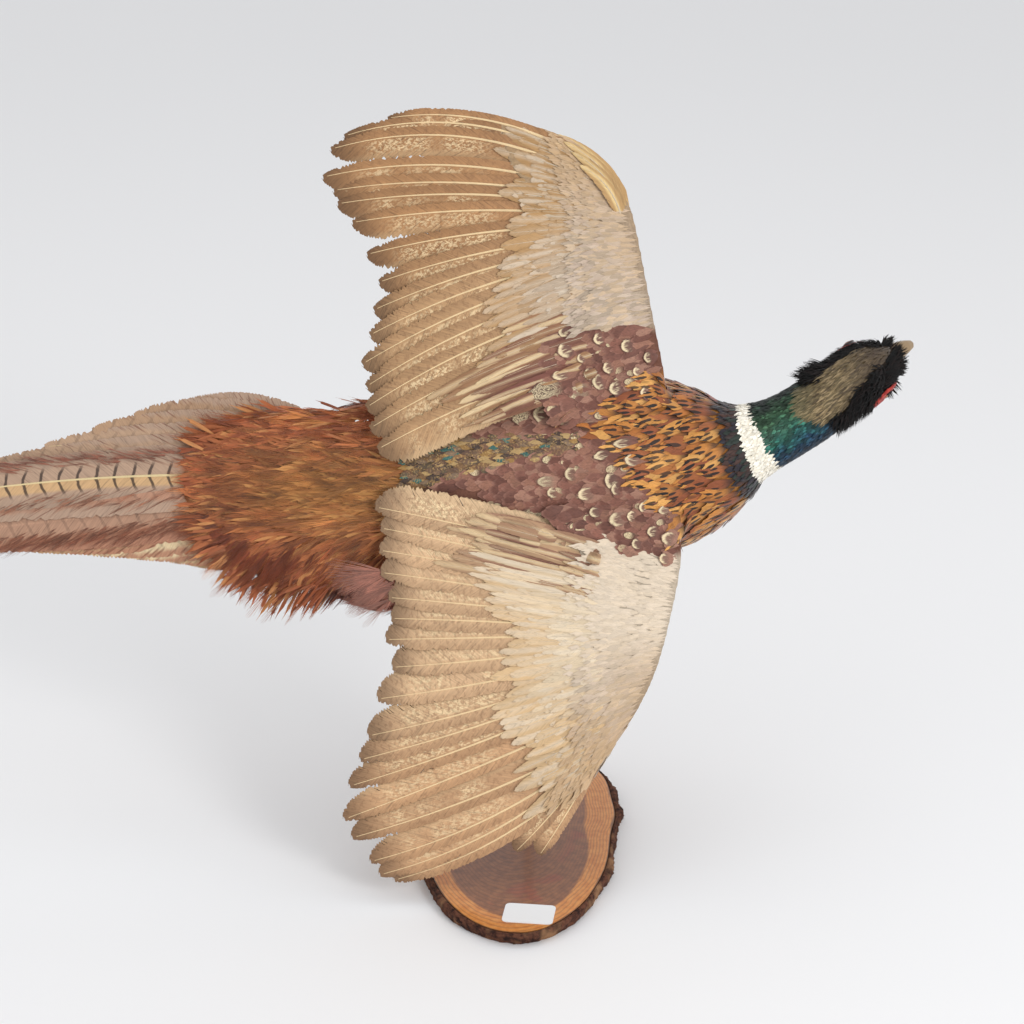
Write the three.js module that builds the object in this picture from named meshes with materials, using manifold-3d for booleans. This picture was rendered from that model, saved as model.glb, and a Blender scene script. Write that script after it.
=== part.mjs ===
// A cock ring-necked pheasant, life size, mounted in banking flight over an oval slice of log.
// Millimetres, +Z up. The frame stands on the underside of the slice, below the steel rod's side
// of the bird, and the bird flies towards +X with its back turned to -Y.
import * as THREE from "three";
import { mergeVertices } from "three/addons/utils/BufferGeometryUtils.js";
import Module from "manifold-3d";

const wasm = await Module();
wasm.setup();

// ---------------------------------------------------------------- driving dimensions
const GAP = 0.3; // left between pieces that meet
const BANK = 71; // degrees by which the bird rolls onto its right side
const BACK = [0, 16, 317]; // the middle of the back, above the slice

// The body from rump to bill: centre x, y, z, half width and half depth.
const BODY = [
  [-112, -15, -41, 66, 30],
  [-60, -10, -50, 68, 46],
  [-10, -6, -59, 68, 59],
  [40, -3, -63, 69, 65],
  [90, 0, -62, 72, 65],
  [128, 4, -55, 67, 57],
  [158, 10, -42, 51, 45],
  [182, 19, -33, 31.5, 32],
  [205, 29, -28, 26.5, 27],
  [228, 43, -22, 25.5, 25],
  [243, 54.5, -18, 25, 24],
  [261, 67.5, -15, 25, 22.5],
  [276.5, 78, -18, 20.5, 18.5],
  [286.5, 84.5, -24, 10.5, 11],
];
const LAST_STATION = BODY.length - 1;
const NECK_AT = 7 / LAST_STATION; // the white ring
const HEAD_AT = 9.4 / LAST_STATION; // behind the crown

// The head's own place and turn: forward, then rolled so that the crown leans to the left wing.
const HEAD = { at: [264, 70, -19], turn: 30, pitch: 22, roll: 14 };
const EYE = { forward: 4.5, up: 3, out: 20.8, radius: 6.2 };
const WATTLE = { forward: 4, up: 0, out: 20, length: 15.5, height: 12.5, reach: 12, thick: 1.8 };

// The bill's halves, from inside the face to the hooked tip: x, y, z, half width, half depth.
const BILL_UPPER = [
  [279, 80.5, -21, 8.2, 6.6],
  [289, 86, -24.5, 7.6, 5.8],
  [298, 90.8, -29.5, 5.6, 4.8],
  [304, 93.6, -36, 3.3, 3.4],
  [305.4, 94.4, -43, 1, 1.2],
];
const BILL_LOWER = [
  [276, 78.2, -28.5, 6.8, 3.8],
  [285.2, 83.8, -32, 6.2, 3.3],
  [294, 88.6, -36.8, 4.4, 2.6],
  [300.6, 92, -42, 1.6, 1.3],
];

// Each wing from the body out to the hand: leading edge, mid-chord and feather tip, as x, outward
// and z, then the thickness of the arm at the leading edge.
const WING_LEFT = {
  side: 1,
  stations: [
    [118, 42, -16, 2, 31, -3, -106, 12, -3, 26],
    [115, 72, -20, -2, 66, -4, -114, 42, -8, 26],
    [106, 115, -14, -10, 110, 2, -117, 73, -7, 22],
    [98, 155, -8, -16, 148, 7, -108, 110, -4, 19],
    [90, 192, -4, -18, 178, 10, -107, 144, -2, 17],
    [80, 214, -2, -28, 205, 12, -130, 186, 2, 15],
    [68, 231, -1, -43, 226, 12, -147, 219, 6, 12],
    [52, 243, 0, -46, 266, 10, -127, 252, 6, 8],
  ],
};
const WING_RIGHT = {
  side: -1,
  stations: [
    [128, 40, -16, 8, 33, -3, -108, 24, -3, 26],
    [128, 76, -20, 6, 80, -6, -105, 60, -8, 26],
    [120, 116, -15, 9, 118, 0, -98, 108, -8, 22],
    [110, 153, -10, 8, 155, 4, -98, 150, -5, 19],
    [98, 180, -7, -2, 192, 6, -112, 210, -2, 17],
    [88, 197, -5, -9, 231, 7, -131, 267, 1, 14],
    [80, 208, -4, 0, 272, 6, -99, 312, 3, 11],
    [76, 214, -4, 49, 252, 3, 17, 297, 3, 7],
  ],
};
const ARM_CHORD = 0.34; // the part of each chord that the arm and its coverts take
const HAND_AT = 0.56; // where the primaries begin along the wing
const SECONDARIES = 9;
const PRIMARIES = 9;
const VANE = 2.4; // thickness of the layered flight feathers

// The tail: its rump end and its tip on the centre line, and its graduated feathers on each side.
const TAIL = { base: [-150, -13, -31], tip: [-590, -57, -33], pairs: 9, shortest: 118 };
const TAIL_SPREAD = { left: 9, right: 5.2, most: 66 }; // how far each next feather leans out on each side
const TAIL_COVERTS = [
  [-112.4, -15, -41, 66, 30],
  [-140, -21, -37, 70, 25],
  [-175, -24, -34, 70, 18],
  [-208, -17, -32, 60, 12],
  [-238, -19, -31, 36, 7.5],
  [-260, -23, -31, 12, 4],
];
const COVERT_LOCKS = 11; // ragged locks round the end of the tail coverts

// Legs laid back under the tail: the feathered thigh, then shank and toes.
const THIGH = [
  [0, 34, -98, 27, 24],
  [-40, 38, -110, 21, 17],
  [-74, 36, -112, 13, 11],
  [-96, 33, -110, 5.5, 5.5],
];
const FLANK = [
  [-52, -62, -70, 24, 24],
  [-92, -88, -69, 30, 19],
  [-126, -92, -63, 21, 13],
  [-158, -86, -57, 6, 5],
];
const SHANK = { hock: [-96.5, 33, -110], ankle: [-160, 28, -98], radius: 4.2 };
const TOES = [
  // length, sideways spread and first lift of each toe, hind toe last
  [50, 2, 3],
  [40, 15, 2],
  [38, -13, 2],
  [20, 1, -16],
];

// The log slice and what stands on it.
const SLICE = { half: 78, widest: 45, front: 198, back: 120, thick: 11, lean: 6 };
const BARK = { thick: 5.6, rough: 2.1 };
const LABEL = { size: [38, 29], corner: 4, thick: 0.6, at: [8.6, -126], turn: -7.3 };
const ROD = { at: [10, 56], radius: 4, top: 262 };
const FOOT = { radius: 17, height: 7 };

// ---------------------------------------------------------------- helpers
const clamp = THREE.MathUtils.clamp;
const lerp = THREE.MathUtils.lerp;
const radians = THREE.MathUtils.degToRad;
const vector = (a) => new THREE.Vector3(...a);

// The value at t between b and c of the smooth curve through a, b, c and d.
function smooth(a, b, c, d, t) {
  const drift = 0.5 * (c - a);
  const arrive = 0.5 * (d - b);
  const t2 = t * t;
  const t3 = t2 * t;
  return (
    (2 * t3 - 3 * t2 + 1) * b +
    (t3 - 2 * t2 + t) * drift +
    (3 * t2 - 2 * t3) * c +
    (t3 - t2) * arrive
  );
}

// Reads a table of stations as one smooth line, from 0 at its first row to 1 at its last.
function along(rows, u) {
  const last = rows.length - 1;
  const at = clamp(u, 0, 1) * last;
  const i = Math.min(Math.floor(at), last - 1);
  const row = (k) => rows[clamp(k, 0, last)];
  return rows[0].map((_, c) =>
    smooth(row(i - 1)[c], row(i)[c], row(i + 1)[c], row(i + 2)[c], at - i),
  );
}

// Moves every corner of a closed three.js shape and returns it with its faces outwards.
function warp(shape, move) {
  shape.deleteAttribute("normal");
  shape.deleteAttribute("uv");
  const merged = mergeVertices(shape, 1e-4);
  const places = merged.getAttribute("position");
  const v = new THREE.Vector3();
  for (let i = 0; i < places.count; i++) {
    v.fromBufferAttribute(places, i);
    const to = move(v);
    places.setXYZ(i, to.x, to.y, to.z);
  }
  return outward(merged);
}

// Six times the signed volume tells which way a closed mesh's faces point.
function outward(shape) {
  const p = shape.getAttribute("position");
  const index = shape.index.array;
  const corner = [0, 1, 2].map(() => new THREE.Vector3());
  let volume = 0;
  for (let i = 0; i < index.length; i += 3) {
    corner.forEach((c, k) => c.fromBufferAttribute(p, index[i + k]));
    volume += corner[0].dot(corner[1].cross(corner[2]));
  }
  if (volume < 0)
    for (let i = 0; i < index.length; i += 3)
      [index[i], index[i + 1]] = [index[i + 1], index[i]];
  return shape;
}

function toSolid(shape) {
  return new wasm.Manifold(
    new wasm.Mesh({
      numProp: 3,
      vertProperties: shape.getAttribute("position").array,
      triVerts: new Uint32Array(shape.index.array),
    }),
  );
}

function toShape(solid) {
  const mesh = solid.getMesh();
  const shape = new THREE.BufferGeometry();
  shape.setAttribute("position", new THREE.BufferAttribute(mesh.vertProperties, mesh.numProp));
  shape.setIndex(new THREE.BufferAttribute(mesh.triVerts, 1));
  return shape;
}

// Cuts neighbours away and keeps the biggest piece that is left.
function cut(shape, ...cutters) {
  let solid = toSolid(shape);
  for (const cutter of cutters) solid = solid.subtract(toSolid(cutter));
  const pieces = solid.decompose().sort((a, b) => b.volume() - a.volume());
  return toShape(pieces[0]);
}

function common(shape, other) {
  return toShape(toSolid(shape).intersect(toSolid(other)));
}

function joined(...shapes) {
  let solid = toSolid(shapes[0]);
  for (const shape of shapes.slice(1)) solid = solid.add(toSolid(shape));
  return toShape(solid);
}

// A round or flattened body along a table of stations, from one share of it to another.
function loft(rows, { from = 0, to = 1, around = 16, steps = 8, grow = 0, ripple = null } = {}) {
  const up = new THREE.Vector3(0, 0, 1);
  const ahead = 0.01;
  return warp(new THREE.CylinderGeometry(1, 1, 1, around, steps), (v) => {
    const u = 0.5 - v.y;
    const at = lerp(from, to, u);
    const [x, y, z, wide, deep] = along(rows, at);
    const tangent = vector(along(rows, Math.min(at + ahead, 1)).slice(0, 3))
      .sub(vector(along(rows, Math.max(at - ahead, 0)).slice(0, 3)))
      .normalize();
    const side = up.clone().cross(tangent).normalize();
    const top = tangent.clone().cross(side);
    const angle = Math.atan2(v.z, v.x);
    const swell = ripple ? ripple(u, angle) : 1;
    return new THREE.Vector3(x, y, z)
      .addScaledVector(side, v.x * (wide + grow) * swell)
      .addScaledVector(top, v.z * (deep + grow) * swell);
  });
}

// How far a row of feathers is cut back between two tips: 0 at a tip, 1 between two.
const notch = (place) => Math.abs(2 * (place - Math.floor(place)) - 1) ** 2.5;

// ---------------------------------------------------------------- the wings
const SCALLOP = 0.055; // share of the chord between a feather's tip and the notch beside it

// A place on a wing's middle surface, from the leading edge (0) to the tips (1).
function onWing(wing, chord, span) {
  const row = along(wing.stations, span);
  const [front, middle, tip] = [0, 3, 6].map((k) => vector(row.slice(k, k + 3)));
  const bend = middle.multiplyScalar(2).sub(front.clone().add(tip).multiplyScalar(0.5));
  const place = front
    .multiplyScalar((1 - chord) ** 2)
    .addScaledVector(bend, 2 * chord * (1 - chord))
    .addScaledVector(tip, chord ** 2);
  place.y *= wing.side;
  return { place, arm: row[9] };
}

// The arm swells just behind the leading edge and thins out to the vanes.
function wingThickness(chord, arm) {
  const crest = 0.07;
  const rise = Math.sqrt(Math.min(chord / crest, 1));
  const fall = clamp(1 - (chord - crest) / (ARM_CHORD - crest), 0, 1);
  return VANE + (arm - VANE) * rise * fall ** 1.3;
}

function wingPiece(wing, { chord, span, rows, columns, feathers = 0, ease = 1, grow = 0 }) {
  const underShare = 0.62;
  return warp(new THREE.BoxGeometry(1, 1, 1, rows, columns, 1), (v) => {
    const across = v.y + 0.5;
    const back = (v.x + 0.5) ** ease;
    const s = lerp(span[0], span[1], across);
    const trim = feathers ? 1 - SCALLOP * notch(across * feathers) : 1;
    const c = lerp(chord[0], chord[1] * trim, back);
    const { place, arm } = onWing(wing, c, s);
    const tipThin = 1 - 0.45 * clamp((c - 0.6) / 0.4, 0, 1);
    const thick = wingThickness(c, arm) * tipThin;
    place.z += v.z > 0 ? thick * (1 - underShare) + grow : -thick * underShare - grow;
    return place;
  });
}

function wingPieces(wing) {
  const chordGap = (2 * GAP) / 200;
  const spanGap = GAP / 260;
  const rear = [ARM_CHORD - chordGap, 1];
  const columnsEach = 3;
  const arm = { chord: [0, ARM_CHORD], span: [0, 1], rows: 5, columns: 16, ease: 1.5 };
  const socket = wingPiece(wing, { ...arm, chord: [0, ARM_CHORD + chordGap], grow: 2 * GAP });
  const vanes = (feathers, span) =>
    wingPiece(wing, { chord: rear, span, rows: 3, columns: feathers * columnsEach, feathers });
  return {
    arm: wingPiece(wing, arm),
    secondaries: cut(vanes(SECONDARIES, [0, HAND_AT]), socket),
    primaries: cut(vanes(PRIMARIES, [HAND_AT + spanGap, 1]), socket),
  };
}

// ---------------------------------------------------------------- the tail
const TAIL_LENGTH = TAIL.base[0] - TAIL.tip[0];

// How far the feathers on one side reach from the centre line, at a distance from the rump.
function tailReach(distance, shorter, spread) {
  let reach = 0;
  for (let pair = 0; pair < TAIL.pairs; pair++) {
    const rank = (1 - pair / (TAIL.pairs - 1)) ** 1.25;
    const length = lerp(TAIL.shortest, TAIL_LENGTH - shorter, rank);
    if (distance > length) continue;
    const outermost = Math.min(4 + spread * pair, TAIL_SPREAD.most);
    const lean = lerp(3 + 0.4 * spread * pair, outermost, distance / length);
    const pointed = lerp(230, 60, Math.min(pair / 3, 1));
    const half = 17 * Math.min(1, (length - distance) / pointed) ** 0.75;
    reach = Math.max(reach, lean * Math.min(1, half / 6) + half);
  }
  return reach;
}

function tailShape() {
  const [base, tip] = [vector(TAIL.base), vector(TAIL.tip)];
  const edge = 1.6;
  const crown = 5;
  const roof = 9;
  const mateShorter = 16;
  return warp(new THREE.BoxGeometry(1, 1, 1, 42, 2, 1), (v) => {
    const u = v.x + 0.5;
    const across = 2 * v.y;
    const distance = u * TAIL_LENGTH;
    const reach =
      across > 0
        ? tailReach(distance, 0, TAIL_SPREAD.left)
        : tailReach(distance, mateShorter, TAIL_SPREAD.right);
    const place = base.clone().lerp(tip, u);
    place.y += across * Math.max(reach, 0.8);
    place.z -= roof * (Math.abs(across) * reach * 0.016) ** 2;
    place.z += v.z * lerp(crown, edge, Math.max(Math.abs(across), u));
    return place;
  });
}

// ---------------------------------------------------------------- the head
const headFrame = new THREE.Matrix4()
  .makeTranslation(...HEAD.at)
  .multiply(new THREE.Matrix4().makeRotationZ(radians(HEAD.turn)))
  .multiply(new THREE.Matrix4().makeRotationY(radians(HEAD.pitch)))
  .multiply(new THREE.Matrix4().makeRotationX(radians(-HEAD.roll)));

function eyeBall(side, grow) {
  const ball = new THREE.SphereGeometry(EYE.radius + grow, 10, 6);
  return warp(ball, (v) =>
    new THREE.Vector3(v.x + EYE.forward, v.y + side * EYE.out, v.z + EYE.up).applyMatrix4(headFrame),
  );
}

const headLoft = (grow) => loft(BODY, { from: HEAD_AT, around: 18, steps: 8, grow });

// Bare red skin round an eye: the part of a thin shell over the head that lies in an oval.
function wattlePatch(side) {
  const oval = warp(new THREE.SphereGeometry(1, 12, 6), (v) =>
    new THREE.Vector3(
      WATTLE.forward + v.x * WATTLE.length,
      side * (WATTLE.out + v.y * WATTLE.reach),
      WATTLE.up + v.z * WATTLE.height,
    ).applyMatrix4(headFrame),
  );
  return cut(common(headLoft(WATTLE.thick), oval), headLoft(GAP), eyeBall(side, GAP));
}

// ---------------------------------------------------------------- the legs
const mirrored = (rows, side) => rows.map(([x, y, ...rest]) => [x, side * y, ...rest]);

function foot(side) {
  const hock = [SHANK.hock[0], side * SHANK.hock[1], SHANK.hock[2]];
  const ankle = [SHANK.ankle[0], side * SHANK.ankle[1], SHANK.ankle[2]];
  const r = SHANK.radius;
  const middle = hock.map((h, k) => (h + ankle[k]) / 2);
  const shank = loft(
    [
      [...hock, r * 1.3, r * 1.3],
      [...middle, r * 0.85, r],
      [ankle[0] - 3, ankle[1], ankle[2], r * 1.35, r * 1.2],
    ],
    { around: 7, steps: 3 },
  );
  const spur = loft(
    [
      [middle[0] - 8, middle[1], middle[2], 2.6, 2.6],
      [middle[0] - 14, middle[1] - side * 7, middle[2] - 5, 1.8, 1.8],
      [middle[0] - 17, middle[1] - side * 15, middle[2] - 11, 0.5, 0.5],
    ],
    { around: 5, steps: 2 },
  );
  const toes = TOES.map(([length, spread, lift]) =>
    loft(
      [
        [ankle[0], ankle[1], ankle[2], 3.6, 3.4],
        [ankle[0] - length * 0.45, ankle[1] + spread * 0.7, ankle[2] + lift, 3, 2.8],
        [ankle[0] - length * 0.85, ankle[1] + spread, ankle[2] + lift - 6, 2.4, 2.3],
        [ankle[0] - length, ankle[1] + spread * 0.95, ankle[2] + lift - 15, 0.6, 0.7],
      ],
      { around: 5, steps: 5 },
    ),
  );
  return joined(shank, spur, ...toes);
}

// ---------------------------------------------------------------- the log slice
// Radius of the bare wood from its middle, in a direction given as an angle: a long round-ended egg.
function woodEdge(angle) {
  const [dx, dy] = [Math.cos(angle), Math.sin(angle)];
  const end = dy > 0 ? SLICE.back : SLICE.front;
  const blunt = dy > 0 ? 2.8 : 2;
  const size = (Math.abs(dx) / SLICE.half) ** blunt + (Math.abs(dy) / end) ** blunt;
  const wander = 1.4 * Math.sin(3 * angle + 0.6) + 0.9 * Math.sin(7 * angle + 2);
  return size ** (-1 / blunt) + wander;
}

// A place in the slice by its direction, its distance from the middle and its height.
function fromSlice(angle, radius, z) {
  const leanIn = SLICE.lean * (1 - z / SLICE.thick);
  return new THREE.Vector3(
    Math.cos(angle) * radius,
    Math.sin(angle) * radius + SLICE.widest + leanIn,
    z,
  );
}

function sliceShape() {
  const disc = new THREE.CylinderGeometry(1, 1, 1, 36, 1);
  const chamfer = 0.8;
  return warp(disc, (v) => {
    const angle = Math.atan2(v.z, v.x);
    const z = (v.y + 0.5) * SLICE.thick;
    const share = Math.min(Math.hypot(v.x, v.z), 1);
    return fromSlice(angle, share * (woodEdge(angle) - (v.y > 0.4 ? chamfer : 0)), z);
  });
}

function barkShape() {
  const ring = new THREE.TorusGeometry(2, 1, 6, 36);
  return warp(ring, (v) => {
    const angle = Math.atan2(v.y, v.x);
    const out = clamp((Math.hypot(v.x, v.y) - 2) * 1.42, -1, 1);
    const rise = clamp(v.z * 1.42, -1, 1);
    const lump = Math.sin(5 * angle) + 0.8 * Math.sin(13 * angle + 1) + 0.6 * Math.sin(19 * angle);
    const z = (0.5 + rise * 0.5) * (SLICE.thick - (out > 0 ? 1.6 : 0.3) * (rise > 0 ? 1 : 0));
    const leftFlare = out > 0 ? 3.5 * Math.max(0, -Math.cos(angle)) * (1 - rise) * 0.5 : 0;
    const shell = GAP + (0.5 + out * 0.5) * (BARK.thick + BARK.rough * lump * 0.5) + leftFlare;
    return fromSlice(angle, woodEdge(angle) + shell, z);
  });
}

function labelShape() {
  const [w, h] = LABEL.size.map((side) => side / 2 - LABEL.corner);
  const r = LABEL.corner;
  const outline = new THREE.Shape();
  outline.absarc(w, h, r, 0, Math.PI / 2);
  outline.absarc(-w, h, r, Math.PI / 2, Math.PI);
  outline.absarc(-w, -h, r, Math.PI, 1.5 * Math.PI);
  outline.absarc(w, -h, r, 1.5 * Math.PI, 2 * Math.PI);
  const card = new THREE.ExtrudeGeometry(outline, {
    depth: LABEL.thick,
    bevelEnabled: false,
    curveSegments: 2,
  });
  card.deleteAttribute("normal");
  card.deleteAttribute("uv");
  return mergeVertices(card, 1e-4);
}

function footShape() {
  const { radius, height } = FOOT;
  const profile = [
    [0, 0],
    [radius, 0],
    [radius, height * 0.35],
    [radius * 0.8, height * 0.55],
    [radius * 0.45, height * 0.8],
    [radius * 0.4, height],
    [0, height],
  ].map(([r, z]) => new THREE.Vector2(r, z));
  return warp(new THREE.LatheGeometry(profile, 14), (v) => new THREE.Vector3(v.x, -v.z, v.y));
}

// ---------------------------------------------------------------- finishes
const finish = (color, roughness, metalness = 0) =>
  new THREE.MeshStandardMaterial({ color, roughness, metalness });
const FINISH = {
  plumage: finish(0x9a5a2c, 0.7),
  greenNeck: finish(0x1f4a3a, 0.4),
  flight: finish(0xb48d5e, 0.6),
  tail: finish(0xa07048, 0.65),
  horn: finish(0xa9906a, 0.4),
  eye: finish(0x2a1608, 0.08),
  wattle: finish(0xb4362c, 0.6),
  leg: finish(0x6f665a, 0.55),
  wood: finish(0xa8632a, 0.25),
  bark: finish(0x4a2f25, 0.9),
  steel: finish(0x8c8c8c, 0.35, 1),
  iron: finish(0x2c2724, 0.5, 0.6),
  card: finish(0xf4f3ee, 0.6),
};

// ---------------------------------------------------------------- assembly
const specimen = new THREE.Group();
const bird = new THREE.Group();
bird.position.set(...BACK);
bird.rotation.x = radians(BANK);
specimen.add(bird);

function place(parent, name, shape, material) {
  const mesh = new THREE.Mesh(shape, material);
  mesh.name = name;
  parent.add(mesh);
  return mesh;
}

// The body in three lengths of one line.
const seam = GAP / 400;
const trunk = loft(BODY, { to: NECK_AT - seam, around: 24, steps: 14 });
const trunkCutter = loft(BODY, { to: NECK_AT, around: 24, steps: 14, grow: GAP });
const coverts = loft(TAIL_COVERTS, {
  around: 20,
  steps: 8,
  ripple: (u, angle) => 1 + 0.09 * u * Math.sin(COVERT_LOCKS * angle) + 0.03 * Math.sin(9 * u + angle),
});
place(bird, "trunk", trunk, FINISH.plumage);
place(bird, "neck", loft(BODY, { from: NECK_AT, to: HEAD_AT - seam, around: 18, steps: 4 }), FINISH.greenNeck);
place(bird, "tail_coverts", cut(coverts, trunkCutter), FINISH.plumage);
place(bird, "tail", cut(tailShape(), coverts), FINISH.tail);

const sides = { left: 1, right: -1 };
const sockets = Object.values(sides).map((side) => eyeBall(side, GAP));
place(bird, "head", cut(headLoft(0), ...sockets), FINISH.greenNeck);
const headCutter = headLoft(GAP);
const upper = loft(BILL_UPPER, { around: 8, steps: 7 });
const upperCutter = loft(BILL_UPPER, { around: 8, steps: 7, grow: GAP });
place(bird, "bill_upper", cut(upper, headCutter), FINISH.horn);
place(bird, "bill_lower", cut(loft(BILL_LOWER, { around: 8, steps: 5 }), headCutter, upperCutter), FINISH.horn);

for (const [name, side] of Object.entries(sides)) {
  place(bird, `eye_${name}`, eyeBall(side, 0), FINISH.eye);
  place(bird, `wattle_${name}`, wattlePatch(side), FINISH.wattle);
  const thigh = cut(loft(mirrored(THIGH, side), { around: 12, steps: 6 }), trunkCutter);
  place(bird, `leg_${name}_thigh`, thigh, FINISH.plumage);
  const thighCutter = loft(mirrored(THIGH, side), { around: 12, steps: 6, grow: GAP });
  place(bird, `leg_${name}_foot`, cut(foot(side), thighCutter), FINISH.leg);
  const wing = side > 0 ? WING_LEFT : WING_RIGHT;
  for (const [part, shape] of Object.entries(wingPieces(wing)))
    place(bird, `wing_${name}_${part}`, cut(shape, trunkCutter, coverts), FINISH.flight);
}
const flankCutters = [trunkCutter, coverts, loft(mirrored(THIGH, -1), { around: 12, steps: 6, grow: GAP })];
place(bird, "flank_right", cut(loft(FLANK, { around: 12, steps: 6 }), ...flankCutters), FINISH.plumage);

// The stand: slice, bark, blank label, iron foot and the rod up into the right flank.
place(specimen, "stand_slice", sliceShape(), FINISH.wood);
place(specimen, "stand_bark", barkShape(), FINISH.bark);
const label = place(specimen, "stand_label", labelShape(), FINISH.card);
label.position.set(...LABEL.at, SLICE.thick);
label.rotation.z = radians(LABEL.turn);
place(specimen, "stand_foot", footShape(), FINISH.iron).position.set(...ROD.at, SLICE.thick);
bird.updateMatrixWorld(true);
const rodFoot = SLICE.thick + FOOT.height;
const rod = warp(new THREE.CylinderGeometry(ROD.radius, ROD.radius, 1, 16, 1), (v) =>
  new THREE.Vector3(v.x + ROD.at[0], -v.z + ROD.at[1], lerp(rodFoot, ROD.top, v.y + 0.5)),
);
const standing = (shape) => shape.clone().applyMatrix4(bird.matrixWorld);
place(specimen, "stand_rod", cut(rod, standing(trunkCutter)), FINISH.steel);

export default specimen;
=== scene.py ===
# %% [markdown]
# # A cock pheasant in banking flight
# This lesson gives a mounted cock pheasant its looks. The frame brings the bird's solids at life
# size. Around them come one skin, about fifteen thousand feathers, the bare parts of the head, the
# feet and the slice of log that carries the bird.

# %% Opening the frame
import math

import bmesh
import bpy
import numpy as np
from mathutils import Matrix, Vector, noise
from mathutils.bvhtree import BVHTree
from mathutils.kdtree import KDTree
from numpy.random import default_rng


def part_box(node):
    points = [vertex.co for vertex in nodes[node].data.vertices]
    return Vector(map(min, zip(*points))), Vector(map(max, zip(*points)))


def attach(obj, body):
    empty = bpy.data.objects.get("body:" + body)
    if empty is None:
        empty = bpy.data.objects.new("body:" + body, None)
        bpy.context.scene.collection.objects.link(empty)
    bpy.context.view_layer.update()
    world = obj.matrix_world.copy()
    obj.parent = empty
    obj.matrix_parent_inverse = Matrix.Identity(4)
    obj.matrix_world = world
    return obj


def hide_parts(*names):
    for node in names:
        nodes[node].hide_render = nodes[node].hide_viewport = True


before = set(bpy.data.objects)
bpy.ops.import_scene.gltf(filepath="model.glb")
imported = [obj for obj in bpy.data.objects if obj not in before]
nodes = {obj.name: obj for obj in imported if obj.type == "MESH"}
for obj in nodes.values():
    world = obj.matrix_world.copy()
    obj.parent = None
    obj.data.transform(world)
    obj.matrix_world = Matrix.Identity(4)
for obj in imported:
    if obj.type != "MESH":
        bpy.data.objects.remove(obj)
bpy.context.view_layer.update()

# %% [markdown]
# ## The bird's own frame
# A flying bird is easiest to feather while it lies level: forward is x, its left wing y and its
# back z. The mount rolls that frame onto the bird's right side. Everything on the bird is worked
# out level, in millimetres, and turned into place at the end. Baking the turn into the points
# keeps every finished object at the origin.

# %% From the bird's frame to the room and back
MM = 0.001
BANK = math.radians(71)
BACK = (0, 16, 317)
ROLL = np.array(Matrix.Rotation(BANK, 3, "X"))


def to_bird(points):
    return (np.asarray(points, float) / MM - BACK) @ ROLL


def to_room(points):
    return (np.asarray(points, float) @ ROLL.T + BACK) * MM


def unit(vectors):
    return vectors / np.maximum(np.linalg.norm(vectors, axis=-1, keepdims=True), 1e-9)


def ramp(value, low, high):
    """0 below low, 1 above high and an even rise between them. It also runs backwards."""
    return np.clip((value - low) / (high - low), 0, 1)


# %% [markdown]
# ## Surfaces to lay feathers on
# Feathers follow the body, so the script needs to ask where a surface is and which way it faces.
# A tree of triangles answers that quickly. The arrays come straight from the meshes.

# %% A searchable surface
def rows_of(items, name, kind=np.float32):
    """What a mesh stores of its vertices or triangles, three numbers to a row."""
    values = np.empty(3 * len(items), kind)
    items.foreach_get(name, values)
    return values.reshape(-1, 3)


class Surface:
    """Triangles in the bird's frame, in millimetres."""

    def __init__(self, meshes):
        places, corners, owners, start = [], [], [], 0
        for owner, mesh in enumerate(meshes):
            mesh.calc_loop_triangles()
            places.append(to_bird(rows_of(mesh.vertices, "co")))
            corners.append(rows_of(mesh.loop_triangles, "vertices", np.int32) + start)
            owners.append(np.full(len(corners[-1]), owner))
            start += len(mesh.vertices)
        self.places = np.concatenate(places)
        self.corners = np.concatenate(corners)
        self.owners = np.concatenate(owners)
        triangles = self.places.tolist(), self.corners.tolist()
        self.tree = BVHTree.FromPolygons(*triangles, all_triangles=True)

    def nearest(self, points):
        """The nearest places, which way the surface faces there, and the triangles' numbers."""
        found = [self.tree.find_nearest(Vector(p)) for p in points]
        return tuple(np.array([f[k] for f in found]) for k in range(3))

    def below(self, points, facing, height):
        """The surface straight under places that hover over it, or else the nearest."""
        found, up = [], []
        for p, n in zip(points, facing):
            hit = self.tree.ray_cast(Vector(p + n * height), Vector(-n), 2.6 * height)
            if hit[0] is None or hit[1].dot(Vector(n)) < 0.1:
                hit = self.tree.find_nearest(Vector(p))
            found.append(hit[0])
            up.append(hit[1])
        return np.array(found), np.array(up)

    def heights(self, level, layer):
        """How high the surface is over level places: 0 gives its underside, 1 its top."""
        found = []
        for x, y in level:
            near = self.tree.find_nearest(Vector((x, y, 0)))[0]
            high = self.tree.ray_cast(Vector((x, y, 150)), Vector((0, 0, -1)))[0]
            low = self.tree.ray_cast(Vector((x, y, -150)), Vector((0, 0, 1)))[0]
            ends = [near[2] if hit is None else hit[2] for hit in (low, high)]
            found.append(ends[0] * (1 - layer) + ends[1] * layer)
        return np.array(found)

    def thickness(self, points, normals):
        """How far it is through the solid, straight in from each point."""
        start = points - normals * 0.05
        hits = [self.tree.ray_cast(Vector(p), Vector(-n)) for p, n in zip(start, normals)]
        return np.array([100.0 if hit[3] is None else hit[3] for hit in hits])


# %% [markdown]
# ## Materials as expressions
# A material's pattern is arithmetic on a few inputs. A small class lets Python write it that way:
# each plus or times on a wire adds a Math node. Colours pass through Mix nodes.

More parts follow.
